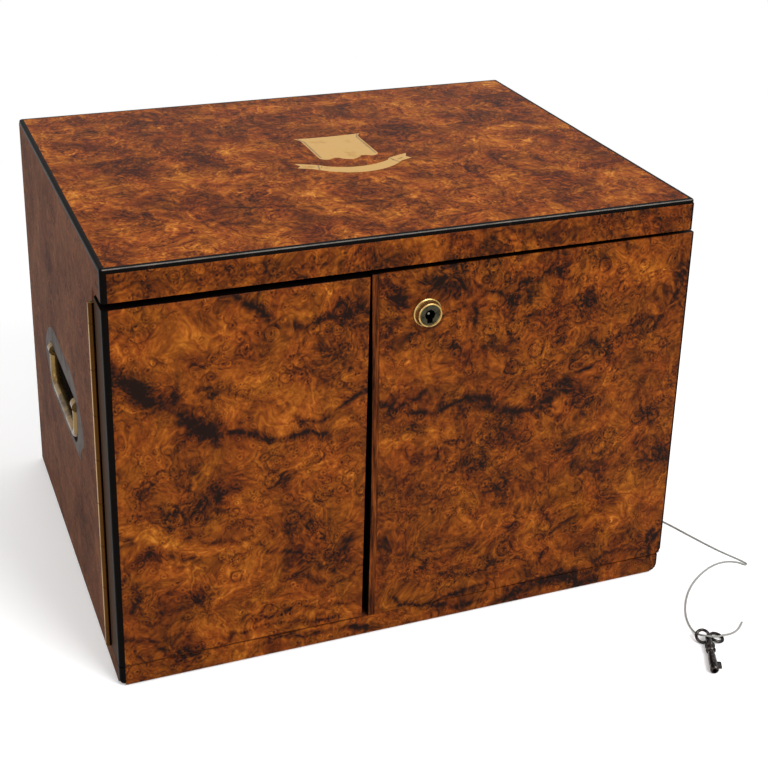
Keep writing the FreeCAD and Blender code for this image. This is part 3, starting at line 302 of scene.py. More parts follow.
@dataclass(frozen=True)
class Eyes:
    """The buds of one size in a burr, each cut across to a pip with rings.

    Args:
        pitch: Distance from eye to eye.
        reach: Least and greatest radius of an eye.
        few: Crowding below which there is none.
        weight: How strongly they mark the wood.
        rise: How many millimetres the growth lines climb over one.
        tones: Tone across an eye, at shares of its radius, where 0.5 is the ground's.
        chance: How much the crowding differs from eye to eye.
        fade: Over how much crowding they appear.
        skirt: How many radii the wood rises around one.
    """

    pitch: float
    reach: tuple[float, float]
    few: float
    weight: float
    rise: float
    tones: Stops
    chance: float = 0.4
    fade: float = 0.12
    skirt: float = 1.9

    def scatter(self, tree: Tree, place: Socket, crowd: Socket) -> tuple[Socket, Socket]:
        """Scatters the eyes over the sheet.

        Args:
            tree: Node tree of the material.
            place: Place in millimetres.
            crowd: How crowded the eyes are at the place.

        Returns:
            The tone that the eyes add, and how high the burr stands at them.
        """
        cells = add(tree, "TexVoronoi", {"Vector": place, "Scale": 1 / self.pitch},
                    voronoi_dimensions="2D").node.outputs
        chance = add(tree, "SeparateColor", (cells["Color"],)).node.outputs
        least, most = self.reach
        radius = add(tree, "MapRange", (chance["Red"], 0.0, 1.0, least / self.pitch, most / self.pitch))
        near = add(tree, "Math", (cells["Distance"], radius), operation="DIVIDE")
        taste = lay(tree, chance["Green"], self.chance, crowd)
        there = add(tree, "MapRange", (taste, self.few, self.few + self.fade))
        # A ramp ends at 1, so that it spans two radii
        half = add(tree, "Math", (near, 2.0), operation="DIVIDE")
        curve = add(tree, "ValToRGB", (half,), stops=tuple((at / 2, tone) for at, tone in self.tones))
        across = add(tree, "Math", (curve, 0.5), operation="SUBTRACT")
        tone = add(tree, "Math", (across, there), operation="MULTIPLY")
        height = add(tree, "MapRange", (near, self.skirt, 0.0), interpolation_type="SMOOTHSTEP")
        return tone, add(tree, "Math", (height, there), operation="MULTIPLY")


BUDS = Eyes(16.0, (2.8, 6.0), 0.70, 0.44, 5.0, (
    (0.0, 0.0), (0.16, 0.06), (0.28, 0.66), (0.38, 0.36), (0.50, 0.64), (0.62, 0.40),
    (0.76, 0.60), (0.92, 0.04), (1.06, 0.20), (1.30, 0.5)))
PIPS = Eyes(6.2, (1.6, 3.0), 0.68, 0.38, 2.6, (
    (0.0, 0.0), (0.26, 0.04), (0.44, 0.62), (0.72, 0.54), (0.92, 0.14), (1.10, 0.30), (1.35, 0.5)))


class Finish:
    """A finish: each kind of it says what feeds the shader."""

    name: str

    def material(self) -> Material:
        """Builds the finish.

        Returns:
            The material.
        """
        material, tree = new_material(self.name)
        add(tree, "OutputMaterial", (add(tree, "BsdfPrincipled", self.surface(tree)),))
        return material


@dataclass(frozen=True)
class BurrWalnut(Finish):
    """Burr walnut veneer, saw cut and French polished.

    A burr is a mass of buds: each eye shows a dark pip and rings, and the growth lines run as contour
    lines round them. Thin shellac leaves the ground clear and the darks black, under a soft gloss.
    """

    name: str
    plane: Plane
    streaks: tuple[Streak, ...] = ()
    pale: tuple[Streak, ...] = ()
    shade: tuple[Patch, ...] = ()
    glow: tuple[Patch, ...] = ()
    flocks: tuple[Patch, ...] = ()
    offset: tuple[float, float] = (0.0, 0.0)
    level: float = 0.58
    contrast: float = 1.0
    buds: Eyes = BUDS
    pips: Eyes = PIPS
    polish: float = 0.24
    gloss: float = 0.04
    stops: Stops = (
        (0.00, "#120a08"), (0.14, "#23120c"), (0.30, "#421d0a"), (0.46, "#5e2d0d"),
        (0.62, "#783c10"), (0.78, "#914e16"), (0.90, "#a96220"), (1.00, "#bf7830"))
    sway: Swirl = Swirl(38.0, 9.0)
    curl: Swirl = Swirl(7.0, 2.0)
    drag: Swirl = Swirl(17.0, 3.6)
    tatter: Swirl = Swirl(4.4, 0.9)
    wobble: Swirl = Swirl(6.0, 1.1, 0.0)
    crowd: Grain = Grain(30.0, 1.0, 0.6)
    swell: Grain = Grain(46.0, 3.0, 0.55, 70.0)
    wide_line: Grain = Grain(5.2, 1.0, 0.7, 0.46)
    fine_line: Grain = Grain(1.7, 1.0, 0.7, 0.20)
    mottle: Grain = Grain(12.0, 3.0, 0.84, 1.02)
    ground: Grain = Grain(52.0, 1.0, 0.8, 0.44)
    brown: Grain = Grain(24.0, 2.0, 0.75, 0.20)
    drift: Grain = Grain(21.0, 2.0, 0.6)
    blackest: float = 0.06
    # How the mottle feathers the clouds and breaks the veins, where it browns, and how the hue drifts
    feathered: tuple[float, ...] = (0.38, 0.60, 1.15, 0.55)
    broken: tuple[float, ...] = (0.38, 0.62, 1.08, 0.88)
    browned: tuple[float, ...] = (0.53, 0.68, 0.0)
    hues: tuple[float, ...] = (0.3, 0.7, 0.4955, 0.5035)

    def dark(self, tree: Tree, place: Socket, mottle: Socket) -> Socket:
        """Gives the dark clouds and veins, broken up by the mottle.

        Args:
            tree: Node tree of the material.
            place: Place in millimetres, already pushed about.
            mottle: The mottle of short fibre.

        Returns:
            How much darker the wood is at the place.
        """
        feather = add(tree, "MapRange", (mottle, *self.feathered))
        cloud = add(tree, "Math", (clouds(tree, place, self.shade), feather), operation="MULTIPLY")
        broken = add(tree, "MapRange", (mottle, *self.broken))
        vein = add(tree, "Math", (veins(tree, place, self.streaks), broken), operation="MULTIPLY")
        return add(tree, "Math", (cloud, vein), operation="MAXIMUM")

    def surface(self, tree: Tree) -> dict:
        """Lays the figure and the polish.

        Args:
            tree: Node tree of the material.

        Returns:
            What feeds the shader.
        """
        axes = add(tree, "SeparateXYZ", (millimetres(tree),)).node.outputs
        flat = add(tree, "CombineXYZ", tuple(axes[axis] for axis in self.plane.value))
        moved = add(tree, "VectorMath", (flat, (*self.offset, 0.0)), operation="ADD")
        broad = self.sway.push(tree, moved)
        curled = self.curl.push(tree, broad)
        ragged = self.tatter.push(tree, self.drag.push(tree, flat))

        # Eyes: rare large buds, and flocks of small ones
        crowd = add(tree, "TexNoise", self.crowd.at(broad), noise_dimensions="2D")
        crowd = add(tree, "Math", (crowd, clouds(tree, flat, self.flocks)), operation="ADD")
        wobble = self.wobble.push(tree, moved)
        bud, bud_height = self.buds.scatter(tree, wobble, crowd)
        pip, pip_height = self.pips.scatter(tree, wobble, crowd)

        # Growth lines: the contours of a smooth field that rises at each eye
        swell = add(tree, "TexNoise", self.swell.at(curled), noise_dimensions="2D")
        field = lay(tree, swell, self.swell.weight, 0.0)
        field = lay(tree, pip_height, self.pips.rise, field)
        field = lay(tree, bud_height, self.buds.rise, field)
        wide, fine = (add(tree, "TexNoise", line.at(field, "W"), noise_dimensions="1D")
                      for line in (self.wide_line, self.fine_line))

        # Ground: clouded orange and brown with a mottle of short curly fibre
        mottle = add(tree, "TexNoise", self.mottle.at(curled), noise_dimensions="2D")
        umber = add(tree, "TexNoise", self.brown.at(broad), noise_dimensions="2D")
        brown = add(tree, "MapRange", (umber, *self.browned, self.brown.weight * self.contrast),
                    interpolation_type="SMOOTHSTEP")
        ground = add(tree, "TexNoise", self.ground.at(broad), noise_dimensions="2D")
        tone: Socket | float = self.level
        for value, grain in ((ground, self.ground), (mottle, self.mottle), (wide, self.wide_line),
                             (fine, self.fine_line)):
            tone = lay(tree, value, grain.weight * self.contrast, tone, middle=0.5)
        tone = lay(tree, pip, self.pips.weight, tone)
        tone = lay(tree, bud, self.buds.weight, tone)
        for operation, value in (("SUBTRACT", brown), ("ADD", clouds(tree, ragged, self.glow)),
                                 ("ADD", veins(tree, ragged, self.pale)),
                                 ("SUBTRACT", self.dark(tree, ragged, mottle)), ("MAXIMUM", self.blackest)):
            tone = add(tree, "Math", (tone, value), operation=operation)
        drift = add(tree, "TexNoise", self.drift.at(broad), noise_dimensions="2D")
        hue = add(tree, "MapRange", (drift, *self.hues))
        wood = add(tree, "ValToRGB", (tone,), stops=self.stops)

        # Polish: nearly level, with a trace of the pores
        return {"Base Color": add(tree, "HueSaturation", {"Hue": hue, "Color": wood}),
                "Roughness": add(tree, "MapRange", (mottle, 0.0, 1.0, self.polish - 0.06,
                                                    self.polish + 0.08)),
                "Normal": add(tree, "Bump", {"Height": mottle, "Strength": 0.05, "Distance": 0.1 * MM}),
                "IOR": 1.5, "Specular IOR Level": self.gloss}


@dataclass(frozen=True)
class StraightWalnut(Finish):
    """Straight-grained walnut or mahogany, planed and rubbed with wax or shellac.

    Long fibres along the grain show as fine dark dashes on a ground that drifts slowly in colour. Edges
    that don't face the front or the back can carry painted shade, near black, for the dark of the gaps
    they shut against; on the outer flank, beside the hinge, they are plain brown.
    """

    name: str
    grain: str = "Z"
    stops: Stops = ((0.0, "#2c1a12"), (0.45, "#5a3a28"), (1.0, "#805b40"))
    pore: Grain = Grain(0.7, 2.0, 0.7)
    band: Grain = Grain(14.0, 4.0, 0.6)
    wander: Grain = Grain(24.0, 2.0, 0.5, 9.0)
    stretch: float = 14.0
    rubbed: float = 0.38
    gloss: float = 0.2
    gap_shaded: bool = False
    # Near black for the painted shade of the gaps, and the plain brown of the outer flank
    stain: str = "#0b0605"
    flank: str = "#3d2c20"
    flank_from: float = 181.0
    flank_to: float = 183.0
    # Where pores make dashes, where bands count, and how far an edge turns from the front to get painted
    # shade
    dashes: tuple[float, ...] = (0.62, 0.4, -0.22, 0.05)
    banded: tuple[float, ...] = (0.3, 0.7)
    turned: tuple[float, ...] = (0.75, 0.55)

    def paint_gap_shade(self, tree: Tree, colour: Socket) -> Socket:
        """Paints shade, near black, on what doesn't face the front or the back, for the dark of the gaps.

        Args:
            tree: Node tree of the material.
            colour: The wood's colour.

        Returns:
            The colour with its painted shade.
        """
        facing = add(tree, "SeparateXYZ", (add(tree, "TexCoord", out="Normal"),)).node.outputs
        frontal = add(tree, "Math", (facing["Y"],), operation="ABSOLUTE")
        edge = add(tree, "MapRange", (frontal, *self.turned))
        across = add(tree, "SeparateXYZ", (millimetres(tree),), "X")
        from_middle = add(tree, "Math", (across,), operation="ABSOLUTE")
        outer = add(tree, "MapRange", (from_middle, self.flank_from, self.flank_to))
        sideways = add(tree, "Math", (facing["X"],), operation="ABSOLUTE")
        bare = add(tree, "Math", (outer, sideways), operation="MULTIPLY")
        # Painted shade, near black, on edges in the gaps; plain brown on the outer flank beside the hinge
        stain = add(tree, "Mix", {0: bare, MIX_LOW: linear(self.stain), MIX_HIGH: linear(self.flank)},
                    MIX_OUT, data_type="RGBA")
        return add(tree, "Mix", {0: edge, MIX_LOW: colour, MIX_HIGH: stain}, MIX_OUT, data_type="RGBA")

    def surface(self, tree: Tree) -> dict:
        """Lays the grain.

        Args:
            tree: Node tree of the material.

        Returns:
            What feeds the shader.
        """
        fibre = millimetres(tree, tuple(self.stretch if axis == self.grain else 1.0 for axis in "XYZ"))
        wander = add(tree, "TexNoise", self.wander.at(fibre), "Color")
        push = add(tree, "VectorMath", {0: wander, "Scale": self.wander.weight}, operation="SCALE")
        along = add(tree, "VectorMath", (fibre, push), operation="ADD")
        bands = add(tree, "TexNoise", self.band.at(along))
        pores = add(tree, "TexNoise", self.pore.at(along))
        spots = add(tree, "MapRange", (pores, *self.dashes))
        spread = add(tree, "MapRange", (bands, *self.banded))
        tone = add(tree, "Math", (spread, spots), operation="ADD")
        colour = add(tree, "ValToRGB", (tone,), stops=self.stops)
        return {"Base Color": self.paint_gap_shade(tree, colour) if self.gap_shaded else colour,
                "Roughness": add(tree, "MapRange", (pores, 0.0, 1.0, self.rubbed - 0.06,
                                                    self.rubbed + 0.08)),
                "Normal": add(tree, "Bump", {"Height": pores, "Strength": 0.12, "Distance": 0.1 * MM}),
                "IOR": 1.5, "Specular IOR Level": self.gloss}


@dataclass(frozen=True)
class WornMetal(Finish):
    """A solid metal, turned, rolled or cast, with handling wear.

    Rubbed high places stay bright; tarnish lies as a duller, darker film in broad patches. Fine
    scratches are drawn a little coarser than real, so that they show.
    """

    name: str
    bright: str
    tarnish: str
    rubbed: float
    dull: float
    patch: float
    film: float
    scratch: Grain = Grain(0.6)
    drawn: Triple = (1.0, 1.0, 1.0)
    # Colour of the painted shade on faces toward the front, if any
    shade_toward_front: str = ""
    metallic: float = 1.0
    engraved: tuple[Streak, ...] = ()
    cut: str = "#3f2611"
    # Tarnish without film, how far a full film spreads it, and where painted shade starts toward the front
    tarnished: tuple[float, float] = (0.62, 0.80)
    spreads: float = 0.3
    turned: tuple[float, ...] = (-0.1, -0.6)

    def surface(self, tree: Tree) -> dict:
        """Lays the tarnish, the scratches, painted shade on faces toward the front, and the engraving.

        Args:
            tree: Node tree of the material.

        Returns:
            What feeds the shader.
        """
        place = millimetres(tree, self.drawn)
        stain = add(tree, "TexNoise", Grain(self.patch, 5.0, 0.65).at(place))
        cover = add(tree, "MapRange", (stain, *(edge - self.spreads * self.film for edge in self.tarnished)))
        fine = add(tree, "TexNoise", self.scratch.at(place))
        colour = add(tree, "ValToRGB", (cover,), stops=((0.0, self.bright), (1.0, self.tarnish)))
        # Painted shade on faces that turn toward the front, such as the front of the hinge barrel
        if self.shade_toward_front:
            forward = add(tree, "SeparateXYZ", (add(tree, "TexCoord", out="Normal"),), "Y")
            shaded_side = add(tree, "MapRange", (forward, *self.turned))
            colour = add(tree, "Mix", {0: shaded_side, MIX_LOW: colour, MIX_HIGH: linear(self.shade_toward_front)}, MIX_OUT,
                         data_type="RGBA")
        if self.engraved:
            level = add(tree, "VectorMath", (millimetres(tree), (1.0, 1.0, 0.0)), operation="MULTIPLY")
            depth = veins(tree, level, self.engraved)
            colour = add(tree, "Mix", {0: depth, MIX_LOW: colour, MIX_HIGH: linear(self.cut)}, MIX_OUT,
                         data_type="RGBA")
        return {"Base Color": colour, "Metallic": self.metallic,
                "Roughness": add(tree, "MapRange", (cover, 0.0, 1.0, self.rubbed, self.dull)),
                "Normal": add(tree, "Bump", {"Height": fine, "Strength": 0.18, "Distance": 0.05 * MM}),
                "Specular IOR Level": 0.5 * self.metallic}


@dataclass(frozen=True)
class EbonisedPear(Finish):
    """Pearwood stained black and polished: almost no colour, with painted highlights on its front arrises."""

    name: str = "ebonised_pearwood"
    black: str = "#0c0a09"
    rub: str = "#2a1a12"
    # Colour of the painted highlight on the front arrises
    arris: str = "#8b857e"
    wear: Grain = Grain(11.0, 6.0, 0.7)
    # Where wear rubs the black brown, where it dulls the gloss, and which arrises get the painted highlight
    rubbed: tuple[float, ...] = (0.60, 0.72)
    dulled: tuple[float, ...] = (0.0, 1.0, 0.20, 0.40)
    turned: tuple[float, ...] = (-0.40, -0.49)

    def surface(self, tree: Tree) -> dict:
        """Lays the wear.

        Args:
            tree: Node tree of the material.

        Returns:
            What feeds the shader.
        """
        wear = add(tree, "TexNoise", self.wear.at(millimetres(tree)))
        rubbed = add(tree, "MapRange", (wear, *self.rubbed))
        # Painted highlight: an arris that faces up and forward at once is painted pale, broken by the wear
        facing = add(tree, "SeparateXYZ", (add(tree, "TexCoord", out="Normal"),)).node.outputs
        lit_arris = add(tree, "Math", (facing["Z"], facing["Y"]), operation="MULTIPLY")
        arris = add(tree, "MapRange", (lit_arris, *self.turned))
        pale = add(tree, "Math", (arris, wear), operation="MULTIPLY")
        stained = add(tree, "ValToRGB", (rubbed,), stops=((0.0, self.black), (1.0, self.rub)))
        return {"Base Color": add(tree, "Mix", {0: pale, MIX_LOW: stained, MIX_HIGH: linear(self.arris)},
                                  MIX_OUT, data_type="RGBA"),
                "Roughness": add(tree, "MapRange", (wear, *self.dulled)),
                "IOR": 1.5, "Specular IOR Level": 0.01}


@dataclass(frozen=True)
class WoolBaize(Finish):
    """Milled wool cloth: a matt nap of short fibres, in a weave too fine to see."""

    name: str
    pile: str
    shadow: str
    nap: Grain = Grain(0.8, 3.0)

    def surface(self, tree: Tree) -> dict:
        """Lays the nap.

        Args:
            tree: Node tree of the material.

        Returns:
            What feeds the shader.
        """
        nap = add(tree, "TexNoise", self.nap.at(millimetres(tree)))
        return {"Base Color": add(tree, "ValToRGB", (nap,), stops=((0.3, self.shadow), (0.7, self.pile))),
                "Roughness": 0.95, "Sheen Weight": 0.3,
                "Normal": add(tree, "Bump", {"Height": nap, "Strength": 0.6, "Distance": 0.3 * MM})}


@dataclass(frozen=True)
class CottonTwine(Finish):
    """Two-ply cotton, bleached and handled: matt, pale grey, with the lay of its twist."""

    name: str = "cotton_twine"
    pale: str = "#a2a19d"
    grubby: str = "#73726e"
    twists_per_mm: float = 0.42

    def surface(self, tree: Tree) -> dict:
        """Lays the twist.

        Args:
            tree: Node tree of the material.

        Returns:
            What feeds the shader.
        """
        ply = add(tree, "TexWave", {"Vector": millimetres(tree), "Scale": self.twists_per_mm,
                                    "Distortion": 1.5}, 1, bands_direction="DIAGONAL")
        return {"Base Color": add(tree, "ValToRGB", (ply,), stops=((0.2, self.grubby), (0.8, self.pale))),
                "Roughness": 0.9,
                "Normal": add(tree, "Bump", {"Height": ply, "Strength": 0.5, "Distance": 0.2 * MM})}


# The front's figure as the photograph shows it, in X and Z
FRONT_VEINS = (
    Streak(((-190, 217), (-176, 207), (-165, 193), (-150, 184), (-138, 174), (-126, 165)), 6.6, 0.62),
    Streak(((-126, 165), (-113, 165), (-103, 162), (-92, 156), (-70, 156), (-57, 152)), 2.7, 0.46),
    Streak(((-79, 170), (-72, 164), (-64, 162), (-55, 165), (-46, 173), (-33, 179)), 2.0, 0.46),
    Streak(((-113, 254), (-98, 241), (-87, 232), (-68, 227), (-57, 232), (-39, 222)), 3.0, 0.52),
    Streak(((-75, 209), (-68, 198), (-58, 189)), 2.4, 0.36),
    Streak(((-26, 170), (-14, 163), (-4, 164), (9, 174)), 1.8, 0.42),
    Streak(((-2, 158), (16, 155), (26, 161), (36, 163)), 2.2, 0.50),
    Streak(((36, 163), (48, 160), (60, 151), (70, 146), (84, 147), (96, 154), (107, 164)), 4.0, 0.60),
    Streak(((107, 164), (126, 172)), 1.4, 0.50),
    Streak(((18, 222), (38, 229)), 1.2, 0.48),
    Streak(((30, 247), (38, 241), (37, 231), (41, 220), (41, 210)), 2.0, 0.42),
    Streak(((38, 241), (45, 234), (54, 231), (62, 226), (67, 228), (69, 237), (76, 237)), 2.2, 0.50),
    Streak(((82, 230), (84, 240), (91, 246), (97, 239)), 2.4, 0.50),
    Streak(((72, 213), (84, 214)), 1.8, 0.46),
    Streak(((126, 196), (145, 193), (161, 190), (172, 197), (182, 207)), 1.6, 0.30),
    Streak(((160, 178), (178, 189)), 1.2, 0.36),
    Streak(((-176, 121), (-160, 108), (-147, 98), (-133, 92), (-106, 90)), 1.5, 0.24),
    Streak(((-188, 107), (-165, 94), (-148, 84), (-120, 79), (-104, 80)), 1.9, 0.24),
    Streak(((-102, 84), (-97, 79), (-84, 74), (-72, 71), (-65, 66), (-60, 57)), 2.6, 0.44),
    Streak(((-40, 76), (-48, 66), (-51, 53)), 3.0, 0.40),
    Streak(((-70, 56), (-62, 47), (-50, 44), (-38, 47)), 1.8, 0.32),
    Streak(((-104, 28), (-92, 29), (-84, 32), (-62, 28), (-36, 27)), 1.5, 0.46),
    Streak(((-124, 15), (-116, 21), (-92, 24), (-66, 20), (-48, 18)), 1.4, 0.38),
    Streak(((-92, 13), (-74, 12), (-58, 9), (-20, 6)), 2.0, 0.46),
    Streak(((-187, 36), (-170, 29), (-156, 19), (-138, 16)), 1.8, 0.36),
    Streak(((-10, 24), (-4, 17), (10, 15), (36, 15), (58, 20)), 1.8, 0.46),
    Streak(((20, 37), (34, 33), (45, 29), (64, 36)), 1.8, 0.34),
    Streak(((18, 12), (32, 8), (54, 7)), 2.8, 0.46),
    Streak(((68, 5), (84, 9), (100, 12), (112, 12), (138, 5)), 4.6, 0.50),
    Streak(((90, 46), (104, 49), (124, 59)), 1.8, 0.32),
    Streak(((140, 20), (154, 24), (168, 24)), 2.0, 0.32),
    # Not a vein: a broad darkening along the whole rail
    Streak(((-190, 267), (190, 267)), 9.0, 0.14),
)
FRONT_PALE = (
    Streak(((-190, 114), (-166, 101), (-148, 91), (-132, 85), (-104, 84)), 5.0, 0.24),
    Streak(((-160, 72), (-136, 66), (-108, 64), (-84, 56)), 9.0, 0.11),
    Streak(((-4, 22), (22, 25), (54, 22)), 4.5, 0.15),
    Streak(((-108, 24), (-70, 24), (-36, 20)), 3.0, 0.06),
    Streak(((-34, 194), (-60, 180)), 5.0, 0.12),
)
FRONT_SHADE = (
    Patch((-182, 210), 13, 0.34), Patch((-154, 190), 14, 0.40), Patch((-138, 176), 11, 0.46),
    Patch((-129, 195), 11, 0.16), Patch((-42, 231), 15, 0.50), Patch((-54, 207), 23, 0.28),
    Patch((21, 246), 16, 0.60), Patch((7, 247), 9, 0.34), Patch((62, 227), 9, 0.54),
    Patch((80, 226), 10, 0.36), Patch((90, 238), 13, 0.22), Patch((118, 220), 10, 0.30),
    Patch((102, 208), 9, 0.22), Patch((-12, 240), 10, 0.36), Patch((-17, 214), 11, 0.28),
    Patch((27, 200), 8, 0.24), Patch((66, 187), 7, 0.32), Patch((106, 159), 11, 0.50),
    Patch((88, 150), 13, 0.52), Patch((114, 151), 12, 0.36), Patch((31, 155), 10, 0.28),
    Patch((132, 184), 11, 0.26), Patch((138, 173), 7, 0.34), Patch((188, 222), 16, 0.32),
    Patch((-170, 132), 9, 0.32), Patch((-154, 120), 14, 0.22), Patch((-128, 117), 14, 0.26),
    Patch((-145, 139), 10, 0.24), Patch((-85, 128), 9, 0.30), Patch((-68, 86), 19, 0.22),
    Patch((-73, 68), 13, 0.32), Patch((-46, 62), 13, 0.28), Patch((-139, 50), 15, 0.32),
    Patch((-168, 90), 14, 0.16), Patch((-168, 58), 18, 0.16), Patch((-150, 16), 12, 0.32),
    Patch((47, 113), 11, 0.30), Patch((118, 98), 10, 0.30), Patch((162, 101), 12, 0.42),
    Patch((140, 97), 15, 0.22), Patch((66, 86), 13, 0.30), Patch((97, 65), 10, 0.28),
    Patch((144, 67), 12, 0.32), Patch((75, 56), 12, 0.22), Patch((112, 119), 14, 0.22),
    Patch((171, 130), 10, 0.36), Patch((21, 129), 10, 0.22), Patch((184, 28), 17, 0.36),
    Patch((160, 34), 10, 0.26), Patch((60, 35), 10, 0.24), Patch((4, 39), 12, 0.20),
    Patch((84, 8), 16, 0.40), Patch((130, 6), 14, 0.36), Patch((180, 90), 14, 0.18),
    Patch((-30, 262), 26, 0.20), Patch((-120, 262), 20, 0.22), Patch((60, 264), 22, 0.20),
    # Not figure: broad darkening over the right door and its lower part
    Patch((100, 215), 95, 0.15), Patch((70, 70), 110, 0.09),
)
FRONT_GLOW = (
    Patch((-112, 206), 30, 0.10), Patch((-82, 212), 16, 0.08), Patch((-160, 232), 26, 0.07),
    Patch((58, 246), 12, 0.12), Patch((150, 234), 28, 0.10), Patch((-104, 119), 18, 0.09),
    Patch((136, 134), 14, 0.15), Patch((139, 111), 15, 0.13), Patch((148, 52), 17, 0.16),
    Patch((-140, 27), 16, 0.10), Patch((-4, 130), 22, 0.10), Patch((-62, 176), 24, 0.08),
    Patch((-120, 7), 30, 0.06), Patch((160, 8), 24, 0.08), Patch((36, 200), 10, 0.12),
)
FRONT_EYES = (
    Patch((-54, 210), 24, 0.26), Patch((-12, 240), 14, 0.34), Patch((-80, 248), 16, 0.24),
    Patch((92, 200), 32, 0.20), Patch((62, 130), 24, 0.24), Patch((132, 182), 18, 0.20),
    Patch((100, 245), 22, 0.24), Patch((150, 226), 26, 0.16), Patch((-172, 242), 14, 0.22),
    Patch((10, 204), 22, 0.18), Patch((-52, 116), 26, 0.20), Patch((-100, 122), 30, 0.14),
    Patch((4, 96), 24, 0.18), Patch((-150, 116), 20, 0.14), Patch((60, 98), 18, 0.18),
    Patch((140, 112), 18, 0.14), Patch((60, 268), 30, 0.22),
)
# The top's figure, in X and Y: purple-brown clouds and one long fine crack line
TOP_VEINS = (
    Streak(((-153, -6), (-140, -42), (-95, -72), (-48, -84), (-5, -87), (26, -102)), 1.3, 0.36),
    Streak(((58, -64), (88, -52), (142, -54)), 2.0, 0.26),
    Streak(((-186, -128), (-176, -142)), 2.0, 0.40),
    Streak(((30, -84), (90, -78), (150, -70), (184, -62)), 1.5, 0.20),
)
TOP_SHADE = (
    Patch((-162, 72), 17, 0.26), Patch((-136, 16), 26, 0.28), Patch((-92, 34), 18, 0.26),
    Patch((64, 50), 24, 0.26), Patch((130, 60), 22, 0.20), Patch((170, 98), 24, 0.28),
    Patch((-152, -66), 13, 0.24), Patch((-105, -52), 15, 0.24), Patch((-78, -62), 14, 0.20),
    Patch((-24, -126), 15, 0.22), Patch((15, -97), 14, 0.24), Patch((80, -52), 17, 0.26),
    Patch((102, -37), 14, 0.22), Patch((120, -92), 17, 0.24), Patch((-102, -92), 16, 0.20),
    Patch((-30, 78), 26, 0.16), Patch((40, 138), 40, 0.12), Patch((150, 10), 24, 0.10),
    # Not figure: a broad darkening of the top's left back
    Patch((-120, 110), 60, 0.10),
)
TOP_GLOW = (
    Patch((110, 13), 24, 0.10), Patch((-172, -112), 20, 0.10), Patch((50, -128), 34, 0.10),
    Patch((-60, -40), 26, 0.07), Patch((-140, -134), 26, 0.08), Patch((150, -120), 24, 0.08),
)

# Lines engraved in the brass, in X and Y: inside the shield's edges, and at the ribbon's folds
SHIELD_LINES = (
    Streak(((-10.7, 2.8), (-10.7, 39.6), (-13.2, 46.0)), 0.5, 0.85),
    Streak(((28.7, 2.8), (28.7, 39.6), (31.2, 46.0)), 0.5, 0.85),
    Streak(((33.6, -10.5), (37.2, -21.1)), 0.5, 0.80),
    Streak(((-17.4, -11.1), (-19.6, -21.1)), 0.5, 0.80),
)
# The sides' figure, in Y and Z: plainer wood with a few brown clouds
SIDE_SHADE = (
    Patch((-100, 240), 30, 0.12), Patch((40, 210), 34, 0.14), Patch((100, 90), 40, 0.12),
    Patch((-40, 60), 36, 0.16), Patch((120, 250), 24, 0.12), Patch((-90, 130), 22, 0.10),
)

# Mahogany from its pores to its palest bands
MAHOGANY = ((0.0, "#2c140c"), (0.5, "#5a2e1c"), (1.0, "#7d4a2e"))


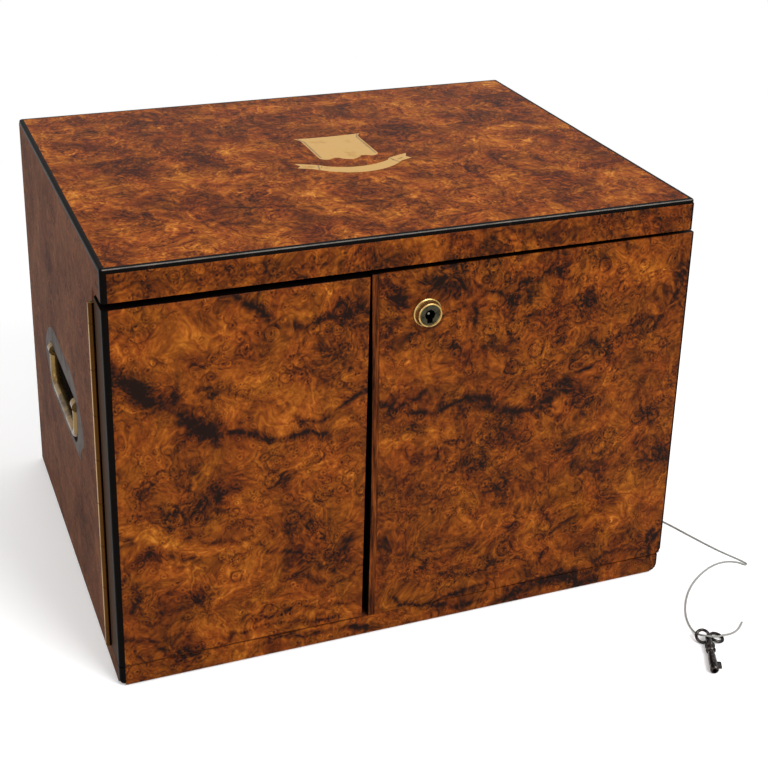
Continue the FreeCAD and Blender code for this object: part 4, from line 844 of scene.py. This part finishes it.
class Finishes:
    """Every finish on the cabinet, made once and shared."""

    def __init__(self) -> None:
        """Builds the materials."""
        self.wood()
        self.metal()
        self.baize = WoolBaize("wool_baize_green", "#2e5a3c", "#16301f").material()
        self.twine = CottonTwine().material()

    def wood(self) -> None:
        """Builds the veneers, the solid woods and the ebonised pear."""
        self.front_burr = BurrWalnut("burr_walnut_front", Plane.FRONT, FRONT_VEINS, FRONT_PALE, FRONT_SHADE,
                                     FRONT_GLOW, FRONT_EYES, offset=(40.0, 12.0)).material()
        # The top was cut from redder wood, closer and more even
        self.top_burr = BurrWalnut(
            "burr_walnut_top", Plane.TOP, TOP_VEINS, (), TOP_SHADE, TOP_GLOW, offset=(310.0, 95.0),
            level=0.605, contrast=1.18, buds=replace(BUDS, pitch=15.0), pips=replace(PIPS, pitch=5.6),
            polish=0.28, gloss=0.008,
            stops=((0.00, "#27100a"), (0.18, "#3a190d"), (0.38, "#53250d"), (0.58, "#753912"),
                   (0.76, "#95511a"), (0.90, "#ae6a27"), (1.00, "#c18237"))).material()
        # The sides are plainer and greyer, and have lost most of their polish
        self.side_walnut = BurrWalnut(
            "figured_walnut_side", Plane.SIDE, shade=SIDE_SHADE, offset=(-120.0, 240.0), contrast=0.62,
            buds=replace(BUDS, pitch=21.0), pips=replace(PIPS, pitch=7.5), polish=0.46, gloss=0.005,
            stops=((0.00, "#1c100b"), (0.25, "#382015"), (0.50, "#593524"), (0.70, "#724a33"),
                   (1.00, "#946347"))).material()
        # A narrow strip shows only close straight grain, with painted shade on its edges in the gaps
        self.lipping = StraightWalnut(
            "walnut_lipping", pore=Grain(0.5, 2.0, 0.7), band=Grain(2.6, 4.0, 0.6), rubbed=0.3, gloss=0.03,
            gap_shaded=True, stops=((0.0, "#170804"), (0.35, "#45200c"), (0.7, "#6a3312"),
                                 (1.0, "#8d4d1c"))).material()
        self.carcase = StraightWalnut("mahogany_carcase", grain="X", stops=MAHOGANY, rubbed=0.5).material()
        self.carcase_upright = StraightWalnut("mahogany_upright", stops=MAHOGANY, rubbed=0.5).material()
        # The door panels and the top rail take painted shade on their edges in the gaps
        self.door_core = StraightWalnut("mahogany_door_core", stops=MAHOGANY, rubbed=0.5, gloss=0.015,
                                        gap_shaded=True).material()
        self.red_edge = StraightWalnut("mahogany_stained_edge", rubbed=0.4, stops=(
            (0.0, "#180504"), (0.5, "#350c08"), (1.0, "#4c160e"))).material()
        self.ebony = EbonisedPear().material()

    def metal(self) -> None:
        """Builds the brass, bronze, steel and iron."""
        # Sheet brass rubbed down with the wood: pale and nearly matt
        self.inlay = WornMetal("sheet_brass_inlay", "#c69a4e", "#a87c3a", 0.40, 0.50, 16.0, 0.3,
                               engraved=SHIELD_LINES).material()
        # Brass drawn along the barrel, bright where handled, with painted shade on faces toward the front
        self.hinge = WornMetal("rolled_brass_hinge", "#c49a54", "#7d5a28", 0.24, 0.42, 7.0, 0.42,
                               drawn=(1.0, 1.0, 6.0), shade_toward_front="#452b10").material()
        self.nozzle = WornMetal("turned_brass_nozzle", "#bd9d60", "#80653a", 0.32, 0.46, 4.0, 0.4).material()
        self.bolt = WornMetal("planed_brass_bolt", "#c2a067", "#8f7038", 0.32, 0.50, 8.0, 0.4).material()
        # Old bronze under lacquer and dirt: more brown skin than metal
        self.plate = WornMetal("patinated_bronze_plate", "#463b36", "#342b28", 0.42, 0.55, 26.0, 0.5,
                               metallic=0.05).material()
        self.bail = WornMetal("cast_bronze_bail", "#806538", "#3d2e17", 0.26, 0.46, 14.0, 0.5,
                              metallic=0.7).material()
        self.face_steel = WornMetal("turned_steel_face", "#423f32", "#25241d", 0.34, 0.50, 3.0,
                                    0.5).material()
        self.steel = WornMetal("plain_steel", "#7d7a70", "#3c3a35", 0.35, 0.55, 4.0, 0.5).material()
        # Key iron worn to a dark gloss, and the box of the lock filed flat and dull
        self.iron = WornMetal("blackened_iron", "#46413e", "#100e0d", 0.20, 0.42, 3.0, 0.75).material()
        self.lock_iron = WornMetal("planed_iron_case", "#4c4a47", "#2f2d2b", 0.36, 0.55, 16.0, 0.5).material()


@dataclass
class Assembly:
    """A part of the cabinet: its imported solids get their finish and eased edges.

    Args:
        nodes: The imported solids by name.
        finishes: The cabinet's finishes.
    """

    nodes: dict
    finishes: Finishes
    weld_gap: float = 0.001
    eased_segments: int = 2
    eased_from_degrees: float = 35.0

    def dress(self, material: Material, *names: str) -> None:
        """Gives solids their finish.

        Args:
            material: The finish.
            *names: Names of the solids.
        """
        for name in names:
            slots = self.nodes[name].data.materials
            slots.clear()
            slots.append(material)
            log.info("dressed %s in %s", name, material.name)

    def ease(self, width: float, *names: str) -> None:
        """Takes the sharpness off arrises with modifiers, so that they catch the light.

        Args:
            width: Width of the eased edge in millimetres.
            *names: Names of the solids.
        """
        for name in names:
            modifiers = self.nodes[name].modifiers
            weld = modifiers.new("weld", "WELD")
            weld.merge_threshold = self.weld_gap * MM
            arris = modifiers.new("arris", "BEVEL")
            arris.width = width * MM
            arris.segments = self.eased_segments
            arris.limit_method = "ANGLE"
            arris.angle_limit = math.radians(self.eased_from_degrees)
            arris.harden_normals = True


@dataclass
class PhotographCamera:
    """The camera that took the photograph, as fitted to the cabinet's corners."""

    place: Triple = (-322.09, -899.27, 596.14)
    azimuth: float = -21.694
    elevation: float = 21.513
    roll: float = 1.412
    lens: float = 69.525
    sensor: float = 36.0
    shift_up: float = -0.1875
    nearest: float = 20.0

    def build(self) -> None:
        """Makes the camera and gives it to the scene."""
        a, e, r = (math.radians(x) for x in (self.azimuth, self.elevation, self.roll))
        back = Vector((math.sin(a) * math.cos(e), -math.cos(a) * math.cos(e), math.sin(e)))
        level = Vector((math.cos(a), math.sin(a), 0.0))
        above = back.cross(level)
        right = level * math.cos(r) + above * math.sin(r)
        up = above * math.cos(r) - level * math.sin(r)
        camera = bpy.data.objects.new("photograph_camera", bpy.data.cameras.new("photograph_camera"))
        camera.data.lens = self.lens
        camera.data.sensor_width = self.sensor
        camera.data.shift_y = self.shift_up
        camera.data.clip_start = self.nearest * MM
        camera.matrix_world = Matrix.Translation(Vector(self.place) * MM) @ Matrix(
            (right, up, back)).transposed().to_4x4()
        bpy.context.scene.collection.objects.link(camera)
        bpy.context.scene.camera = camera
        log.info("camera stands at %s", tuple(round(c, 3) for c in camera.location))


@dataclass(frozen=True)
class SoftBox:
    """One soft square lamp that points at the cabinet.

    Args:
        name: Its name.
        place: Where it hangs.
        side: Its side.
        watts: Its power.
    """

    name: str
    place: Triple
    side: float
    watts: float

    def hang(self, aim: Vector) -> None:
        """Hangs the lamp.

        Args:
            aim: What it points at, in metres.
        """
        data = bpy.data.lights.new(self.name, "AREA")
        data.size = self.side * MM
        data.energy = self.watts
        lamp = bpy.data.objects.new(self.name, data)
        lamp.location = Vector(self.place) * MM
        lamp.rotation_mode = "QUATERNION"
        lamp.rotation_quaternion = (aim - lamp.location).to_track_quat("-Z", "Y")
        bpy.context.scene.collection.objects.link(lamp)


@dataclass
class Studio:
    """A white sweep under large soft lamps, as for a sale catalogue."""

    floor_half: float = 6000.0
    floor_paint: str = "#d8d8d6"
    white: str = "#ffffff"
    floor_lift: float = 0.12
    fade_from: float = 330.0
    fade_to: float = 900.0
    world_level: float = 0.55
    aim: Triple = (0.0, 0.0, 140.0)
    lamps: tuple[SoftBox, ...] = (
        SoftBox("key_lamp", (520, -1300, 1250), 900, 26.0),
        SoftBox("fill_lamp", (-1500, -700, 900), 1100, 7.0),
        SoftBox("top_lamp", (-100, 500, 1700), 1200, 9.0),
    )

    def build(self) -> None:
        """Makes floor, world and lamps."""
        self.floor()
        self.world()
        for lamp in self.lamps:
            lamp.hang(Vector(self.aim) * MM)
        bpy.context.scene.view_settings.view_transform = "Standard"

    def floor(self) -> None:
        """Lays the pale floor, which keeps the cabinet's shadow and fades to plain white further off."""
        half = self.floor_half * MM
        mesh = bpy.data.meshes.new("sweep")
        mesh.from_pydata([(-half, -half, 0), (half, -half, 0), (half, half, 0), (-half, half, 0)], [],
                         [(0, 1, 2, 3)])
        sweep = bpy.data.objects.new("sweep", mesh)
        bpy.context.scene.collection.objects.link(sweep)
        material, tree = new_material("painted_sweep")
        seen = self.seen(tree)
        colour = add(tree, "Mix", {0: seen, MIX_LOW: linear(self.floor_paint),
                                   MIX_HIGH: linear(self.white)}, MIX_OUT, data_type="RGBA")
        paint = add(tree, "BsdfDiffuse", (colour,))
        glow = add(tree, "Math", (seen, self.floor_lift), operation="MULTIPLY")
        lift = add(tree, "Emission", (linear(self.white), glow))
        near = add(tree, "AddShader", (paint, lift))
        far = add(tree, "Emission", (linear(self.white), 1.0))
        away = add(tree, "VectorMath", (millimetres(tree),), "Value", operation="LENGTH")
        fade = add(tree, "MapRange", (away, self.fade_from, self.fade_to), interpolation_type="SMOOTHSTEP")
        share = add(tree, "Math", (fade, seen), operation="MULTIPLY")
        add(tree, "OutputMaterial", (add(tree, "MixShader", (share, near, far)),))
        mesh.materials.append(material)

    def seen(self, tree: Tree) -> Socket:
        """Tells the rays that show the background from those that light the cabinet.

        Args:
            tree: Node tree of the floor or the world.

        Returns:
            1 for what the camera sees, directly or in polish and metal, and 0 for light.
        """
        rays = add(tree, "LightPath").node.outputs
        mirrored = add(tree, "Math", (rays["Is Glossy Ray"], rays["Is Transmission Ray"]),
                       operation="MAXIMUM")
        return add(tree, "Math", (rays["Is Camera Ray"], mirrored), operation="MAXIMUM")

    def world(self) -> None:
        """Makes a world that shows white and lights softly."""
        world = bpy.data.worlds.new("studio_world")
        world.use_nodes = True
        bpy.context.scene.world = world
        tree = world.node_tree
        tree.nodes.clear()
        level = add(tree, "MapRange", (self.seen(tree), 0.0, 1.0, self.world_level, 1.0))
        add(tree, "OutputWorld", (add(tree, "Background", (linear(self.white), level)),))


@dataclass
class KeyString:
    """The cotton string from the right-hand handle to the key, and its hitch round the pivot pin."""

    thick: float = 1.2
    length: float = 429.0
    pivot: Triple = (188.5, -34.9, 138.0)
    loop: float = 2.2
    loop_turn: int = 300
    loop_step: int = 15
    route: tuple[Triple, ...] = (
        (190.7, -34.9, 138.0), (192.9, -35.0, 96.0), (194.4, -36.6, 52.5), (196.4, -39.6, 24.5),
        (200.6, -46.0, 6.6), (208.6, -57.6, 0.6), (218.2, -72.8, 0.6), (229.1, -94.4, 0.6),
        (236.4, -115.2, 0.6), (244.4, -136.4, 0.6), (250.2, -148.2, 0.6), (253.3, -154.0, 0.6),
        (254.9, -157.9, 0.6), (256.0, -160.4, 0.6), (253.7, -161.6, 0.6), (251.3, -157.2, 0.6),
        (246.0, -153.9, 0.6), (238.6, -152.9, 0.6), (228.6, -155.0, 0.6), (214.0, -162.6, 0.6),
        (201.2, -172.4, 0.6), (190.6, -184.2, 0.6), (182.4, -196.6, 0.6), (177.9, -207.8, 0.6),
        (176.6, -216.2, 0.6), (176.8, -222.6, 2.4), (177.4, -228.6, 5.9), (180.9, -231.7, 6.2),
        (186.2, -230.9, 4.5), (191.4, -228.6, 3.1), (196.8, -226.9, 0.9), (202.6, -225.9, 0.6),
        (208.8, -222.2, 0.6), (213.2, -218.0, 0.6))

    def build(self, finishes: Finishes, key: bpy.types.Object) -> None:
        """Lays the string and its hitch.

        Args:
            finishes: The cabinet's finishes.
            key: The key that the string is tied to; not used.
        """
        string = self.strand("string", self.route, finishes.twine)
        hitch = self.hitch(finishes.twine)
        for piece, node in ((string, "key_string"), (hitch, "string_hitch")):
            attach(piece, "cabinet")
            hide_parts(node)
        log.info("string is %.0f mm long", self.length)

    def strand(self, name: str, points: tuple[Triple, ...],
               material: Material) -> bpy.types.Object:
        """Makes one open NURBS strand.

        Args:
            name: Name of the piece.
            points: Control points in millimetres.
            material: Its finish.

        Returns:
            The curve object.
        """
        curve = bpy.data.curves.new(name, "CURVE")
        curve.dimensions = "3D"
        curve.bevel_depth = self.thick / 2 * MM
        curve.bevel_resolution = 3
        curve.use_fill_caps = True
        curve.resolution_u = 10
        spline = curve.splines.new("NURBS")
        spline.points.add(len(points) - 1)
        for point, place in zip(spline.points, points):
            point.co = (*(c * MM for c in place), 1.0)
        spline.order_u = 3
        spline.use_endpoint_u = True
        curve.materials.append(material)
        strand = bpy.data.objects.new(name, curve)
        bpy.context.scene.collection.objects.link(strand)
        return strand

    def hitch(self, material: Material) -> bpy.types.Object:
        """Winds the string's end once round the pivot pin.

        Args:
            material: Its finish.

        Returns:
            The hitch.
        """
        x, y, z = self.pivot
        turns = [math.radians(t) for t in range(0, self.loop_turn + 1, self.loop_step)]
        points = tuple((x + self.loop * math.cos(t), y, z + self.loop * math.sin(t)) for t in turns)
        return self.strand("string_loop", points, material)


@dataclass
class Case(Assembly):
    """The case: its veneered sides, rail, plinth and top, its ebonised edges and its inside."""

    arris: float = 0.3
    veneers: tuple[str, ...] = ("rail_veneer", "plinth_veneer")
    lying: tuple[str, ...] = ("base_board", "plinth_rail", "top_board", "shelf", "back_panel")
    edges: tuple[str, ...] = (
        "edge_moulding_front", "edge_moulding_back", "edge_moulding_left", "edge_moulding_right",
        "corner_beads_rail", "corner_beads_plinth")

    def build(self) -> None:
        """Dresses the case."""
        finishes = self.finishes
        self.dress(finishes.front_burr, *self.veneers)
        self.dress(finishes.top_burr, "top_veneer")
        self.dress(finishes.side_walnut, "side_veneer_left", "side_veneer_right")
        self.dress(finishes.carcase, *self.lying)
        self.dress(finishes.carcase_upright, "side_panel_left", "side_panel_right")
        self.dress(finishes.door_core, "top_rail")
        self.dress(finishes.red_edge, "divider")
        self.dress(finishes.ebony, *self.edges)
        self.dress(finishes.inlay, "shield_inlay", "ribbon_inlay")
        self.dress(finishes.baize, "base_baize", "floor_linings")
        self.ease(self.arris, *self.veneers, "shelf", "divider")


@dataclass
class Doors(Assembly):
    """Both doors, the lock on the wide one and the flush bolts on the narrow one."""

    arris: float = 0.35
    brass: tuple[str, ...] = ("lock_bolt", "striker_plate", "flush_bolt_plates", "flush_bolt_top",
                              "flush_bolt_foot")

    def build(self) -> None:
        """Dresses the doors."""
        finishes = self.finishes
        for side in ("left", "right"):
            self.dress(finishes.front_burr, f"door_veneer_{side}")
            self.dress(finishes.door_core, f"door_panel_{side}")
            self.dress(finishes.lipping, f"door_lipping_{side}")
            self.dress(finishes.ebony, f"door_bead_{side}")
            self.ease(self.arris, f"door_lipping_{side}")
        self.ease(self.arris, "door_veneer_left")
        self.dress(finishes.nozzle, "lock_nozzle")
        self.dress(finishes.face_steel, "lock_keyway")
        self.dress(finishes.steel, "lock_drill_pin", "lock_spring")
        self.dress(finishes.lock_iron, "lock_case")
        self.dress(finishes.bolt, *self.brass)


class Hardware(Assembly):
    """Hinges and handles on the sides, and the key on the table."""

    def build(self) -> None:
        """Dresses the metalwork."""
        finishes = self.finishes
        for side in ("left", "right"):
            self.dress(finishes.hinge, f"hinge_leaf_case_{side}", f"hinge_leaf_door_{side}",
                       f"hinge_screws_door_{side}")
            self.dress(finishes.steel, f"hinge_pin_{side}")
            self.dress(finishes.plate, f"handle_plate_{side}")
            self.dress(finishes.bail, f"bail_{side}")
        self.dress(finishes.hinge, "hinge_screws_case")
        self.dress(finishes.plate, "handle_screws")
        self.dress(finishes.steel, "handle_pins")
        self.dress(finishes.iron, "key")


def main() -> None:
    """Builds the scene in order: camera, string, studio, case, doors, metalwork."""
    logging.basicConfig(level=logging.INFO, format="%(name)s: %(message)s")
    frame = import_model()
    PhotographCamera().build()
    finishes = Finishes()
    KeyString().build(finishes, frame["nodes"]["key"])
    Studio().build()
    for assembly in (Case, Doors, Hardware):
        assembly(frame["nodes"], finishes).build()


if __name__ == "__main__":
    main()
